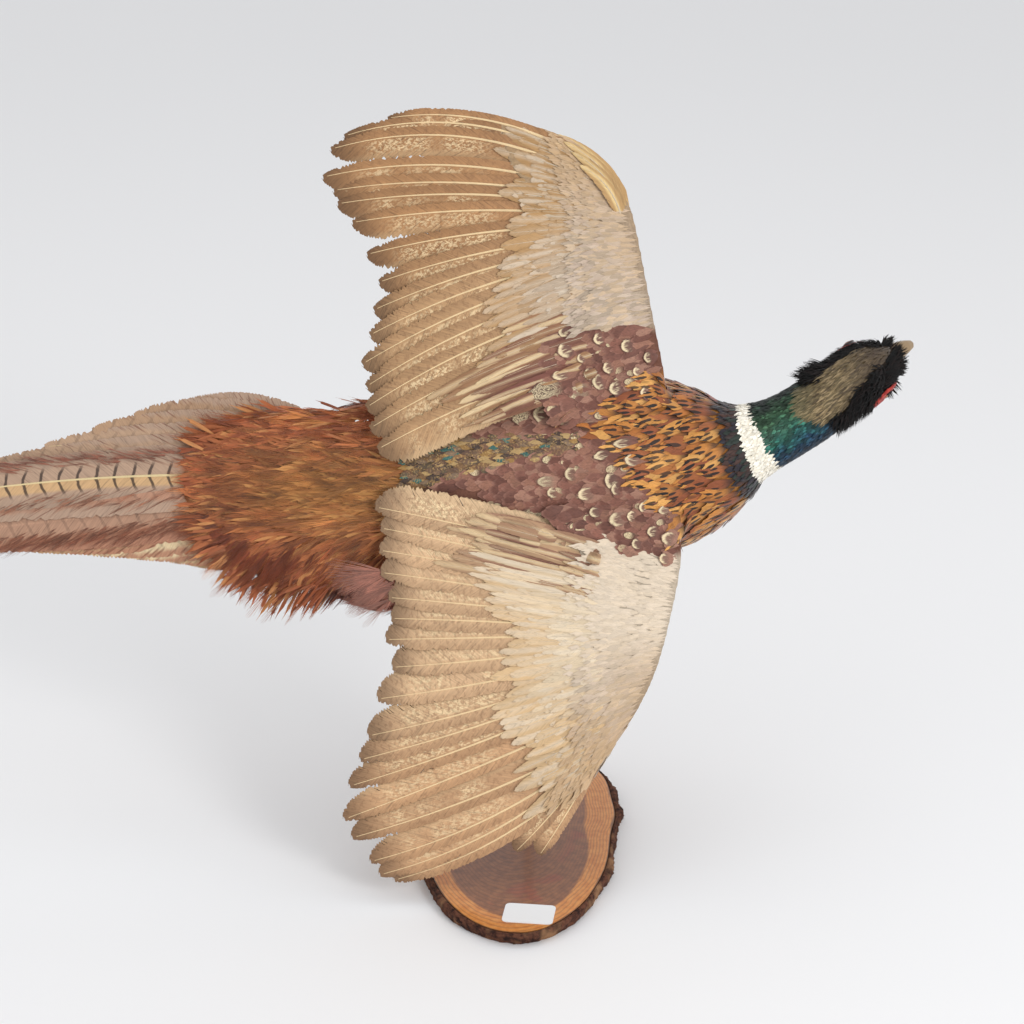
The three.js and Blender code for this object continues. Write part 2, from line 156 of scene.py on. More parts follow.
# %% Wires and finishes
class Wire:
    """One value in a material. Arithmetic on it adds Math nodes."""

    def __init__(self, finish, socket):
        self.finish, self.socket = finish, socket

    def math(self, operation, *others, swap=False):
        values = [self, *others]
        if swap:
            values.reverse()
        names = ("Value", "Value_001", "Value_002")
        return self.finish.node("Math", {"operation": operation}, dict(zip(names, values)))

    def __add__(self, other):
        return self.math("ADD", other)

    def __mul__(self, other):
        return self.math("MULTIPLY", other)

    def __sub__(self, other):
        return self.math("SUBTRACT", other)

    def __rsub__(self, other):
        return self.math("SUBTRACT", other, swap=True)

    def __truediv__(self, other):
        return self.math("DIVIDE", other)

    def __pow__(self, other):
        return self.math("POWER", other)

    __radd__, __rmul__ = __add__, __mul__

    def size(self):
        return self.math("ABSOLUTE")

    def step(self, low, high):
        """0 below low, 1 above high, with a smooth turn between them."""
        names = {"Value": self, "From Min": low, "From Max": high}
        return self.finish.node("MapRange", {"interpolation_type": "SMOOTHSTEP"}, names)


class Finish:
    """A material being made. Constants are set on the shader's own sockets."""

    def __init__(self, name, **constants):
        self.material = bpy.data.materials.new(name)
        self.material.use_nodes = True
        self.tree = self.material.node_tree
        self.shader = self.tree.nodes["Principled BSDF"]
        for socket, value in constants.items():
            self.shader.inputs[socket.replace("_", " ")].default_value = value

    def node(self, kind, settings, sockets, output=0):
        made = self.tree.nodes.new("ShaderNode" + kind)
        for setting, value in settings.items():
            setattr(made, setting, value)
        for name, value in sockets.items():
            socket = next(s for s in made.inputs if name == s.identifier or name == s.name)
            if isinstance(value, Wire):
                self.tree.links.new(value.socket, socket)
            else:
                socket.default_value = value
        if isinstance(output, str):
            output = next(k for k, s in enumerate(made.outputs) if output in (s.identifier, s.name))
        return Wire(self, made.outputs[output])

    def feed(self, name, value):
        self.tree.links.new(value.socket, self.shader.inputs[name])

    def attribute(self, name):
        """A colour stored on the mesh."""
        settings = {"attribute_type": "GEOMETRY", "attribute_name": name}
        return self.node("Attribute", settings, {}, "Color")

    def channel(self, colour, number):
        """One of a colour's three numbers."""
        return self.node("SeparateColor", {}, {"Color": colour}, number)

    def vane(self):
        """Across a feather from -1 to 1, and along it from 0 at its root to 1 at its tip."""
        place = self.node("UVMap", {"uv_map": "vane"}, {})
        across = self.node("SeparateXYZ", {}, {"Vector": place}, 0)
        along = self.node("SeparateXYZ", {}, {"Vector": place}, 1)
        return across * 2 - 1, along

    def here(self):
        return self.node("TexCoord", {}, {}, "Object")

    def point(self, x, y, z=0.0):
        return self.node("CombineXYZ", {}, {"X": x, "Y": y, "Z": z})

    def noise(self, vector, scale=1.0, detail=2.0, rough=0.5):
        sockets = {"Vector": vector, "Scale": scale, "Detail": detail, "Roughness": rough}
        return self.node("TexNoise", {}, sockets, 0)

    def blend(self, share, *colours):
        """Two colours, wires or six-digit codes, mixed by the second one's share."""
        first, second = (paint4(c) if isinstance(c, str) else c for c in colours)
        settings = {"data_type": "RGBA", "clamp_factor": True}
        sockets = {"Factor_Float": share, "A_Color": first, "B_Color": second}
        return self.node("Mix", settings, sockets, "Result_Color")

    def shade(self, colour, light):
        """A colour made lighter or darker by a number."""
        return self.node("VectorMath", {"operation": "SCALE"}, {"Vector": colour, "Scale": light})

    def bump(self, height, strength, distance):
        sockets = {"Strength": strength, "Distance": distance, "Height": height}
        self.feed("Normal", self.node("Bump", {}, sockets))


def paint(code):
    """A colour from its usual six-digit code."""
    parts = np.array([int(code[k : k + 2], 16) / 255 for k in (0, 2, 4)])
    return np.where(parts < 0.04045, parts / 12.92, ((parts + 0.055) / 1.055) ** 2.4)


def paint4(code):
    return (*paint(code), 1.0)


# %% [markdown]
# ## One skin
# The head, neck, trunk, arms, thighs and tail root are separate solids, but a bird has one skin.
# Joined as they are they would keep a seam at each cut. A voxel remesh melts them into one even
# surface. It is then drawn in by the depth of the plumage, so that the feathers end where the
# solids do. Thin places are drawn in less, or their two sides would cross.

# %% Melting the solids into one body
FLESH = (
    "head", "neck", "trunk", "wing_left_arm", "wing_right_arm",
    "leg_left_thigh", "leg_right_thigh", "flank_right", "tail_coverts",
)
HEAD, NECK, TRUNK, ARM_LEFT, ARM_RIGHT, THIGH_LEFT, THIGH_RIGHT, FLANK, RUMP = range(len(FLESH))


def mesh_of(shape, name):
    """Hands a finished shape over to a mesh."""
    mesh = bpy.data.meshes.new(name)
    shape.to_mesh(mesh)
    shape.free()
    return mesh


def into_scene(name, data):
    made = bpy.data.objects.new(name, data)
    bpy.context.scene.collection.objects.link(made)
    return made


def melted(names, voxel, swell, rounds):
    """One smooth closed mesh round some of the frame's solids, in the room's frame."""
    whole = bmesh.new()
    for name in names:
        part = bmesh.new()
        part.from_mesh(nodes[name].data)
        bmesh.ops.remove_doubles(part, verts=part.verts, dist=0.02 * MM)
        part.normal_update()
        for vert in part.verts:
            vert.co += vert.normal * swell
        whole.from_mesh(mesh_of(part, name))
    carrier = into_scene("rough", mesh_of(whole, "rough"))
    remesh = carrier.modifiers.new("remesh", "REMESH")
    remesh.mode = "VOXEL"
    remesh.voxel_size = voxel
    seen = carrier.evaluated_get(bpy.context.evaluated_depsgraph_get())
    mesh = bpy.data.meshes.new_from_object(seen)
    bpy.data.objects.remove(carrier)
    even = bmesh.new()
    even.from_mesh(mesh)
    all_ways = {"use_axis_x": True, "use_axis_y": True, "use_axis_z": True}
    for _ in range(rounds):
        bmesh.ops.smooth_vert(even, verts=even.verts, factor=0.5, **all_ways)
    return mesh_of(even, names[0])


skin_mesh = melted(FLESH, voxel=2.2 * MM, swell=0.4 * MM, rounds=5)
print("the melted body has", len(skin_mesh.polygons), "faces")


# %% Drawing the skin in
DEPTHS = {HEAD: 1.3, NECK: 2.0, TRUNK: 3.2, RUMP: 4.5, FLANK: 5.0, THIGH_LEFT: 2.5, THIGH_RIGHT: 2.5}
ARM_DEPTH = 2.2
THIN_SHARE = 0.3  # of a thin place's thickness that is drawn in at most


def corners_of(mesh):
    """A mesh's vertices and the ways they face, in the bird's frame."""
    return to_bird(rows_of(mesh.vertices, "co")), rows_of(mesh.vertices, "normal") @ ROLL


flesh = Surface([nodes[name].data for name in FLESH])
body = Surface([skin_mesh])
places, facing = corners_of(skin_mesh)
part_at = flesh.owners[flesh.nearest(places)[2]]
depth = np.array([DEPTHS.get(part, ARM_DEPTH) for part in part_at])
depth = np.minimum(depth, THIN_SHARE * body.thickness(places, facing))
skin_mesh.vertices.foreach_set("co", to_room(places - facing * depth[:, None]).astype(np.float32).ravel())
skin_mesh.update()
skin = Surface([skin_mesh])
plates = [n for n in nodes if n.endswith(("primaries", "secondaries"))]
ground = Surface([skin_mesh, *[nodes[n].data for n in plates], nodes["tail"].data])
print("the skin lies", depth.mean().round(2), "mm inside the plumage on average")

# %% [markdown]
# ## Plumage zones
# A cock pheasant changes colour from patch to patch: olive crown, black face, green neck, white
# ring, golden mantle with black drops, maroon scapulars with cream shells, a mottled back, grey
# coverts, rufous rump. The same rule colours the skin and every feather that grows on it. It looks
# only at a place on the level bird and at which way the surface faces.

# %% The zone of a place
ZONES = (
    "crown", "face", "neck", "ring", "collar", "mantle", "scapular", "back", "rump", "covert",
    "under", "breast", "flank", "belly", "thigh", "bare",
)
ZONE = {name: number for number, name in enumerate(ZONES)}
CROWN = (  # its outline from above, in x and y
    (290, 90), (263, 91), (250, 84), (238, 73), (231, 63), (215, 62), (212, 47), (220, 35),
    (238, 33), (248, 41), (258, 57), (274, 75), (284, 82),
)
# where the mantle ends behind: places across the body, and how far forward it ends at each
MANTLE_REAR = (-80, -60, -40, 4, 26, 67, 82, 96), (180, 140, 128, 98, 70, 104, 126, 180)
RING_MIDDLE, RING_AXIS = np.array([183.0, 20.0, -1.0]), np.array([0.89, 0.36, 0.27])
COLLAR_WIDTH = 12
LEADING = 0.4  # on a wing's leading edge the skin faces forward by more than this
eye_middles = [to_bird(np.mean(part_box(f"eye_{side}"), axis=0)) for side in ("left", "right")]
wattle_middles = [to_bird(np.mean(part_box(f"wattle_{side}"), axis=0)) for side in ("left", "right")]
BARE_AROUND = (5.0, 9.5)  # how far round the left and right wattles no feathers grow


def ripple(points, scale, seed=0.0):
    """Soft noise about 0 at some places, with spots about scale millimetres across."""
    shift = Vector((seed, seed * 0.7, -seed))
    return np.array([noise.noise(Vector(p) / scale + shift) for p in points])


def inside(points, outline):
    """Whether places lie inside an outline: a line from each crosses it an odd number of times."""
    x, y = points[:, 0], points[:, 1]
    within = np.zeros(len(points), bool)
    for (ax, ay), (bx, by) in zip(outline, (*outline[1:], outline[0])):
        spans = (ay > y) != (by > y)
        within ^= spans & (x < ax + (bx - ax) * (y - ay) / (by - ay + 1e-9))
    return within


def ring_half(y):
    """Half the width of the white ring, which broadens towards the right side."""
    return 4.5 + 0.118 * np.clip(49 - y, 0, 62)


def ring_place(points):
    """How far a place lies ahead of the white ring's middle, in half widths of the ring."""
    ahead = (points - RING_MIDDLE) @ RING_AXIS
    return (ahead + 0.9 * ripple(points, 7)) / ring_half(points[:, 1])


def zone_of(points, facing, part):
    """The zone's number at each place."""
    x, y = points[:, 0], points[:, 1]
    up = facing[:, 2]
    wobble = 5 * ripple(points, 16, 3)
    zone = np.full(len(points), ZONE["breast"])
    wing = (part == ARM_LEFT) | (part == ARM_RIGHT)
    torso = (part == TRUNK) | wing
    zone[torso & (up < -0.3) & (x < 60)] = ZONE["flank"]
    zone[(part == TRUNK) & (up < -0.2) & (np.abs(y - 2) < 40) & (x < 45)] = ZONE["belly"]
    back = torso & (up > -0.1)
    zone[back & (x <= 140)] = ZONE["scapular"]
    zone[back & (x + wobble > np.interp(y, *MANTLE_REAR)) & (up > 0.05)] = ZONE["mantle"]
    strip = np.abs(y - 8 - 0.13 * (x + 28)) < 17 - 0.12 * (x + 40)
    zone[back & strip & (x < 60)] = ZONE["back"]
    zone[back & (x < -78) & (np.abs(y) < 60)] = ZONE["rump"]
    zone[(part == TRUNK) & (x < -70) & (y > 34) & (up > -0.65)] = ZONE["rump"]
    left_edge, right_edge = 105 + wobble, -72 + 0.22 * (131 - x) + wobble
    above = up > np.where(facing[:, 0] > LEADING, -0.5, -0.1)  # the leading edge belongs to the top
    zone[wing & above & ((y > left_edge) | (y < right_edge))] = ZONE["covert"]
    zone[wing & ~above & (np.abs(y) > 62)] = ZONE["under"]
    zone[part == RUMP] = ZONE["rump"]
    zone[(part == FLANK) | (part == THIGH_LEFT) | (part == THIGH_RIGHT)] = ZONE["thigh"]
    ring = ring_place(points)
    fore = (part == TRUNK) | (part == NECK)
    zone[fore & (ring > -1 - COLLAR_WIDTH / ring_half(y))] = ZONE["collar"]
    zone[fore & (ring > -1)] = ZONE["ring"]
    zone[(part == NECK) & (ring > 1)] = ZONE["neck"]
    zone[part == HEAD] = ZONE["face"]
    ragged = points[:, :2] + np.column_stack([wobble, -wobble]) * 0.4
    crown = inside(ragged, CROWN) & (up > 0.2)
    zone[crown & ((part == HEAD) | (part == NECK))] = ZONE["crown"]
    for middle, around in zip(wattle_middles, BARE_AROUND):
        near = np.linalg.norm(points - middle, axis=1) < around
        zone[near & (part == HEAD)] = ZONE["bare"]
    return zone


def counts(zone):
    return {name: int((zone == number).sum()) for name, number in ZONE.items()}


# %% [markdown]
# ## Colours
# Each zone draws its feathers' colours from a few paints. The neck is the exception: over its own
# dark green lies a painted iridescent sheen that runs from green over teal to blue round its right
# side, with painted glints, so its paint follows the place.

# %% Paints
PAINTS = {
    "crown": ("7A6848", "8A7654", "66583C", "988462", "544632", "6A5C40"),
    "face": ("0C0909", "120D0C", "0A0C0C", "1A100E"),
    "ring": ("ECE6D6", "F2EDE0", "E2DAC8"),
    "collar": ("2A1A16", "1B1420", "3A1E14", "16241C"),
    "mantle": ("B27434", "BE8440", "A2622A", "C8924E", "94542A", "8A4A28"),
    "scapular": ("7C5042", "865C4A", "6E463A", "926A58", "663E32"),
    "back": (
        "5A4A38", "34605A", "7A5A3A", "94703E", "44342C", "76604C", "A88A5C", "5A4234", "6E5440", "6A4A38",
    ),
    "rump": ("94502E", "A45E36", "7E4024", "B67A48", "9A5430"),
    "covert": ("B4A08E", "BCA996", "A89682", "B29C82", "C0A88C"),
    "under": ("B8AC9C", "C6BCAE", "A89A88", "D0C8BC"),
    "breast": ("7A2E16", "8C3A1A", "6A2814", "94461E"),
    "flank": ("B5803A", "A8722E", "C08E48"),
    "belly": ("1E1512", "2A1C16", "17110F"),
    "thigh": ("6E3E34", "7C4A3C", "5A3028", "865A48"),
    "bare": ("7A1812", "8C2018"),
}
PAINTS = {name: np.array([paint(code) for code in codes]) for name, codes in PAINTS.items()}
NECK_PAINTS = np.array([paint(code) for code in ("141E1A", "36543C", "24564A", "1E3A50", "0E1018")])


def neck_paint(points):
    """Painted iridescent sheen over the neck's own dark green: black green on the left, green over the
    nape, then teal and blue, and black underneath.
    """
    turn = 0.034 * (46 - points[:, 1] + 0.62 * (points[:, 0] - 190)) + 0.25 * ripple(points, 6)
    stops = np.array([0.0, 0.55, 1.15, 1.6, 2.1])
    plain = np.stack([np.interp(turn, stops, NECK_PAINTS[:, k]) for k in range(3)], axis=1)
    # painted glints and sheen: random patches are made up to twice as light and others darker, where
    # iridescent feathers catch or miss the light
    painted_gloss = 0.75 + 0.7 * ripple(points, 4, 8) + 1.1 * (ripple(points, 2.2, 5) > 0.28)
    return plain * np.clip(painted_gloss, 0.35, 2.2)[:, None]


def washes(points):
    """Soft changes of colour inside a zone: the zone, the second colour and its share at each place."""
    x, y, z = points.T
    tip = np.where(y > 0, ramp(y, 165, 225), ramp(-y, 165, 215))
    edge = 0.6 * ramp(x, 60, 105) * ramp(np.abs(y), 130, 170)
    return (
        # painted light: the right wing's coverts are washed paler than the left's
        ("covert", "D8C8B2", (y < 0) * (0.75 * ramp(y, -190, -120))),
        ("covert", "B5946C", 0.8 * np.maximum(tip, edge)),
        ("rump", "A07838", 0.5 * np.exp(-(((y + 20) / 30) ** 2)) * ramp(x, -230, -150)),
        ("rump", "6E3E38", 0.75 * ramp(-z, 36, 52) * ramp(x, -220, -170)),
        ("crown", "4A4232", np.clip(0.4 * ripple(points, 6, 9), 0, 0.5)),
        ("crown", "3E3026", 0.85 * ramp(x + 5 * ripple(points, 5, 2), 244, 274)),
        ("crown", "56583C", 0.6 * ramp(x, 232, 214)),
        ("mantle", "3C2014", 0.6 * ramp(x + 0.4 * y, 168, 184)),
    )


def tint_of(points, zone, rng):
    """A feather's main colour at each place."""
    tint = np.zeros((len(points), 3))
    on = {name: zone == number for name, number in ZONE.items()}
    for name, paints in PAINTS.items():
        tint[on[name]] = paints[rng.integers(0, len(paints), on[name].sum())]
    tint[on["neck"]] = neck_paint(points[on["neck"]])
    for name, code, share in washes(points):
        share = (on[name] * share)[:, None]
        tint = tint * (1 - share) + paint(code) * share
    # painted light: the tuft on the right side under the rump is made half as light again, so that it
    # reads as lit
    lit_side_tuft = on["thigh"] & (points[:, 1] < -50) & (points[:, 0] < -38)
    tint *= 1 + 0.5 * lit_side_tuft[:, None]
    change = np.where(on["rump"] | on["covert"] | on["crown"], 0.5, 1.0)[:, None]
    patch = 1 + 0.35 * (on["rump"] * ripple(points, 20, 6))[:, None]
    return tint * patch * (1 + change * rng.uniform(-0.18, 0.14, (len(points), 1)))


places, facing = corners_of(skin_mesh)
rng = default_rng(11)
skin_zone = zone_of(places, facing, part_at)
skin_tint = tint_of(places, skin_zone, rng)
for _ in range(2):
    around = np.zeros_like(skin_tint)
    times = np.zeros(len(skin_tint))
    for a, b in ((0, 1), (1, 2), (2, 0)):
        np.add.at(around, skin.corners[:, a], skin_tint[skin.corners[:, b]])
        np.add.at(times, skin.corners[:, a], 1)
    skin_tint = around / times[:, None]
print("skin corners:", counts(skin_zone))


# %% The skin's finish
def coloured(mesh, name, values):
    """Stores a colour for each corner of a mesh."""
    layer = mesh.attributes.new(name, "FLOAT_COLOR", "POINT")
    full = np.ones((len(values), 4), np.float32)
    full[:, :3] = values
    layer.data.foreach_set("color", full.ravel())


def finished(mesh, name, material, slot, *replaced):
    """A piece of the bird or its stand, in place and riding on the frame."""
    made = into_scene(name, mesh)
    mesh.materials.clear()
    mesh.materials.append(material)
    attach(made, "root")
    if replaced:
        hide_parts(*replaced)


skin_finish = Finish("down_over_skin", Roughness=0.85, Specular_IOR_Level=0.2)
fluff = skin_finish.noise(skin_finish.here(), 420.0, 4.0, 0.6)
# painted shade: the skin is darkened to about three quarters of its tint so that the gaps between feathers
# look deep; the noise in it is the down's own texture
down = skin_finish.shade(skin_finish.attribute("tint"), fluff * 0.7 + 0.4)
skin_finish.feed("Base Color", down)
skin_finish.bump(fluff, 0.6, 0.8 * MM)
coloured(skin_mesh, "tint", skin_tint)
skin_mesh.shade_smooth()
finished(skin_mesh, "skin", skin_finish.material, "body_plumage", *FLESH)

# %% [markdown]
# ## Patterns for feathers
# A feather is a thin blade: a shaft with barbs on both sides that run out and towards the tip. A
# flat grid makes a good pattern for it. Each row of the grid is a band of barbs, so the rows lean
# towards the tip and the rim can fray between them. A second sheet under the first, joined to it
# at the rim, closes the blade. Columns run from -1 to 1 across, rows from 0 to 1 along, and the
# third number says how far above or below the middle of the blade a corner lies.

# %% One pattern
class Pattern:
    """A small closed shape whose corners are (across, along, height) on some feather's curve."""

    def __init__(self, shape):
        shape.verts.index_update()
        self.corners = np.array([v.co[:] for v in shape.verts])
        self.web = self.corners[:, :2]
        self.faces = [[v.index for v in face.verts] for face in shape.faces]
        shape.free()

    def mirrored(self):
        other = object.__new__(Pattern)
        other.corners, other.web = self.corners * (-1, 1, 1), self.web
        other.faces = [face[::-1] for face in self.faces]
        return other


def blade(columns, rows, crowd=1.0):
    """A closed two-sided grid, still square, with its rows crowded towards the tip."""
    shape = bmesh.new()
    bmesh.ops.create_grid(shape, x_segments=columns, y_segments=rows, size=1)
    low = bmesh.ops.duplicate(shape, geom=shape.verts[:] + shape.edges[:] + shape.faces[:])["geom"]
    low_verts = {v for v in low if isinstance(v, bmesh.types.BMVert)}
    bmesh.ops.reverse_faces(shape, faces=[f for f in low if isinstance(f, bmesh.types.BMFace)])
    rim = 1 - 1e-4
    for vert in shape.verts:
        inside = abs(vert.co.x) < rim and abs(vert.co.y) < rim
        vert.co.z = (-1 if vert in low_verts else 1) * inside
        vert.co.y = 1 - (0.5 - vert.co.y / 2) ** crowd
    bmesh.ops.remove_doubles(shape, verts=shape.verts, dist=1e-4)
    return shape


def contour_pattern(columns, rows, ragged, seed, point=0.5):
    """A body feather: narrow root, broad middle and a ragged round tip."""
    rng = default_rng(seed)
    shape = blade(columns, rows)
    fray = {}
    for vert in shape.verts:
        u, v = vert.co.x, vert.co.y
        key = (round(u, 3), round(v, 3))
        if key not in fray:
            fray[key] = rng.uniform(-1, 1)
        width = 0.22 + 0.78 * math.sin(min(v / 0.62, 1) * math.pi / 2) ** 0.8
        width *= math.sqrt(max(1 - (max(v - 0.5, 0) / 0.56) ** 2.6, 0.02)) ** (2 * point)
        tip = max(v - 0.45, 0)
        rim = abs(u) > 0.99 or v > 0.99
        vert.co.x = u * width * (1 + (0.5 * ragged * tip * fray[key] if rim else 0))
        lean = 0.16 * abs(u) * (1 - v) - 0.13 * u * u * v**3
        notch = min(ragged * tip * 0.22, 0.2 / rows)
        vert.co.y = v + lean + (notch * fray[key] if rim else 0)
    return Pattern(shape)


def strand(shape, start, end, bend, radius, sides, steps):
    """Adds one thin tapering barb, from start to end in (across, along), to a pattern."""
    ring = bmesh.ops.create_circle(shape, segments=sides, radius=1, cap_ends=True)["verts"]
    bmesh.ops.reverse_faces(shape, faces=list({f for v in ring for f in v.link_faces}))
    rings = [ring]
    edges = list({e for v in ring for e in v.link_edges})
    for _ in range(steps):
        grown = bmesh.ops.extrude_edge_only(shape, edges=edges)["geom"]
        edges = [g for g in grown if isinstance(g, bmesh.types.BMEdge)]
        edges = [e for e in edges if not any(v in rings[-1] for v in e.verts)]
        rings.append(list({v for e in edges for v in e.verts}))
    bmesh.ops.contextual_create(shape, geom=edges)
    for step, verts in enumerate(rings):
        t = step / steps
        u = start[0] + (end[0] - start[0]) * t + bend * math.sin(math.pi * t)
        v = start[1] + (end[1] - start[1]) * t
        thin = radius * (1 - 0.85 * t)
        for vert in verts:
            round_u, round_w = vert.co.x, vert.co.y
            vert.co = (u + round_u * thin, v, round_w * thin * 4)


def plume_pattern(strands, seed, spread=1.0, radius=0.085):
    """A loose plume: hair-like barbs that part from a short shaft."""
    rng = default_rng(seed)
    shape = bmesh.new()
    for k in range(strands):
        side = -1 + 2 * k / (strands - 1)
        root = (0.1 * side, 0.45 * rng.random() * abs(side))
        end = (spread * side * rng.uniform(0.6, 1.1), 1 - 0.35 * side * side * rng.uniform(0.4, 1.2))
        strand(shape, root, end, 0.12 * rng.uniform(-1, 1), radius, 3, 2)
    bmesh.ops.recalc_face_normals(shape, faces=shape.faces)
    return Pattern(shape)


def bristle_pattern():
    """The smallest tuft: two narrow sheets that meet at a point."""
    shape = blade(2, 3)
    for vert in shape.verts:
        vert.co.x *= 1 - 0.9 * vert.co.y**1.5
    return Pattern(shape)


DEEP_SPLITS = 0.12  # the share of a long blade's barbs that part deeply


def flight_pattern(columns, rows, seed, inner, outer, lean, comb, tip_from=0.86, blunt=2.0):
    """A long blade: a web ahead of the shaft (across < 0), another behind it, and barbs that part
    like a comb towards the tip."""
    rng = default_rng(seed)
    shape = blade(columns, rows, 1.35)
    split = {}
    for vert in shape.verts:
        u, v = vert.co.x, vert.co.y
        row = (round(v, 4), u > 0)
        if row not in split:
            odd = len(split) // 2 % 2
            deep = rng.random() < DEEP_SPLITS
            split[row] = rng.uniform(0.2, 1.0) * (0.2 + 0.8 * odd)
            split[row] += 1.8 * rng.random() if deep else 0
        web = inner if u > 0 else outer
        along = v + lean * abs(u) ** 1.1 * web * (1 - v) ** 0.45
        rounded = ramp(along, tip_from if u > 0 else tip_from - 0.06, 1.005) ** blunt
        width = ramp(along, -0.02, 0.07) ** 0.6 * max(1 - rounded, 0.0) ** 0.5
        loose = 0.25 + 0.75 * ramp(v, 0.55, 0.95)
        reach = max(abs(u) - 0.45, 0) / 0.55
        width *= 1 - comb * loose * reach * split[row] * 0.35
        vert.co.x = u * web * (width * 0.97 + 0.03)
        vert.co.y = along
    return Pattern(shape)


def quill_pattern(steps):
    """The shaft: a tapering rod, round in (across, height)."""
    shape = bmesh.new()
    strand(shape, (0, 0), (0, 0.985), 0, 1, 5, steps)
    for vert in shape.verts:
        vert.co.z /= 4
    bmesh.ops.recalc_face_normals(shape, faces=shape.faces)
    return Pattern(shape)


COVERTS = [contour_pattern(4, 7, 1.0, seed) for seed in (1, 2, 3)]
SCALES = [contour_pattern(5, 7, 0.2, seed) for seed in (4, 5)]
SHELLED = [contour_pattern(6, 9, 0.3, 15, point=0.45)]
SLIPS = [contour_pattern(3, 6, 0.8, seed, point=0.8) for seed in (16, 17, 18)]
HAIRS = [contour_pattern(2, 5, 1.0, seed, point=1.2) for seed in (19, 20, 21)]
SPIKES = [contour_pattern(4, 7, 0.9, seed, point=1.1) for seed in (12, 13, 14)]
TUFTS = [contour_pattern(2, 3, 0.9, seed) for seed in (6, 7, 8)]
BRISTLES = [bristle_pattern()]
PLUMES = [plume_pattern(9, seed) for seed in (9, 10, 11)]
print("faces in a covert, tuft and plume:", [len(p[0].faces) for p in (COVERTS, TUFTS, PLUMES)])

# %% [markdown]
# ## Growing feathers
# A feather's curve leaves the skin along the lie of the plumage and comes down again at its tip,
# a little above the next ones. A quadratic curve from root to tip, whose middle clears the skin,
# does that. All copies of a pattern are bent at once with arrays, and a coat is joined from them
# as one mesh. Beside its shape each feather brings its own colours, its place on the map and where
# each corner lies on the vane.

# %% A coat of many feathers
class Coat:
    """Copies of patterns, joined as one mesh."""

    def __init__(self):
        self.places, self.loops, self.sizes, self.count = [], [], [], 0
        self.values = {"tint": [], "mark": [], "trait": []}
        self.maps = {"vane": [], "OFBake": []}

    def add(self, pattern, places, tint, mark, trait, map_place, map_size):
        copies, corners = places.shape[:2]
        loops = np.concatenate([np.array(face) for face in pattern.faces])
        sizes = np.array([len(face) for face in pattern.faces])
        shift = self.count + corners * np.arange(copies)
        self.places.append(places.reshape(-1, 3))
        self.loops.append((loops[None] + shift[:, None]).ravel())
        self.sizes.append(np.tile(sizes, copies))
        self.count += copies * corners
        for name, value in (("tint", tint), ("mark", mark), ("trait", trait)):
            self.values[name].append(np.repeat(value, corners, axis=0))
        spread = np.ptp(pattern.corners[:, 0]) or 1.0
        across = (pattern.corners[:, 0] - pattern.corners[:, 0].min()) / spread
        flat = np.stack([across, pattern.corners[:, 1]], axis=1)[None]
        vane = pattern.web * (0.5, 1) + (0.5, 0)
        self.maps["vane"].append(np.tile(vane, (copies, 1)))
        bake = map_place[:, None] + (flat - 0.5) * map_size
        self.maps["OFBake"].append(np.clip(bake, 0.001, 0.999).reshape(-1, 2))

    def grow(self, patterns, kind, curve, half, thick, droop, colours, flat, size):
        """Adds a bent copy of its kind's pattern for each row of the arrays."""
        thick = np.broadcast_to(thick, half.shape)
        for number, pattern in enumerate(patterns):
            own = kind == number
            parts = [part[own] for part in curve]
            made = bent(pattern, *parts, half[own], thick[own], droop)
            self.add(pattern, made, *[colour[own] for colour in colours], flat[own], size)

    def build(self, name, material, slot, *replaced):
        mesh = bpy.data.meshes.new(name)
        places, loops, sizes = (np.concatenate(a) for a in (self.places, self.loops, self.sizes))
        mesh.vertices.add(len(places))
        mesh.vertices.foreach_set("co", to_room(places).astype(np.float32).ravel())
        mesh.loops.add(len(loops))
        mesh.loops.foreach_set("vertex_index", loops.astype(np.int32))
        mesh.polygons.add(len(sizes))
        mesh.polygons.foreach_set("loop_start", (np.cumsum(sizes) - sizes).astype(np.int32))
        mesh.update(calc_edges=True)
        for layer, parts in self.maps.items():
            values = np.concatenate(parts)[loops].astype(np.float32)
            mesh.uv_layers.new(name=layer).data.foreach_set("uv", values.ravel())
        for layer in ("tint", "mark", "trait"):
            coloured(mesh, layer, np.concatenate(self.values[layer]))
        mesh.shade_smooth()
        mesh.set_sharp_from_angle(angle=math.radians(70))
        print(f"{name}: {(sizes - 2).sum()} triangles")
        finished(mesh, name, material, slot, *replaced)


def arc(t, root, middle, tip):
    """Places on a quadratic curve, and which way it runs there."""
    places = (1 - t) ** 2 * root + 2 * t * (1 - t) * middle + t**2 * tip
    return places, unit(2 * (1 - t) * (middle - root) + 2 * t * (tip - middle))


def bent(pattern, root, middle, tip, up_root, up_tip, half_width, thick, droop):
    """Copies of a pattern along quadratic curves, given as arrays with one row for each copy."""
    u, v, w = pattern.corners.T
    t = v[None, :, None]
    line, ahead = arc(t, root[:, None], middle[:, None], tip[:, None])
    up = up_root[:, None] * (1 - t) + up_tip[:, None] * t
    side = unit(np.cross(up, ahead))
    up = np.cross(ahead, side)
    across = (u[None] * half_width[:, None])[..., None]
    rise = w[None] * np.reshape(thick, (-1, 1)) - droop * u[None] ** 2 * half_width[:, None]
    return line + side * across + up * rise[..., None]


# %% [markdown]
# ## Where feathers grow
# Feathers stand in even quincunxes rather than at random. Many candidate places are dropped on the
# skin; then they are gone through in a shuffled order, and each one kept clears its surroundings.
# The clearing is small on the head and large on the trunk, so that one pass feathers the bird.
# Thin rear edges, the undersides of the leading edges and the steps between parts stay bald:
# feathers from there would stick out, and the ones round them cover most of those places.

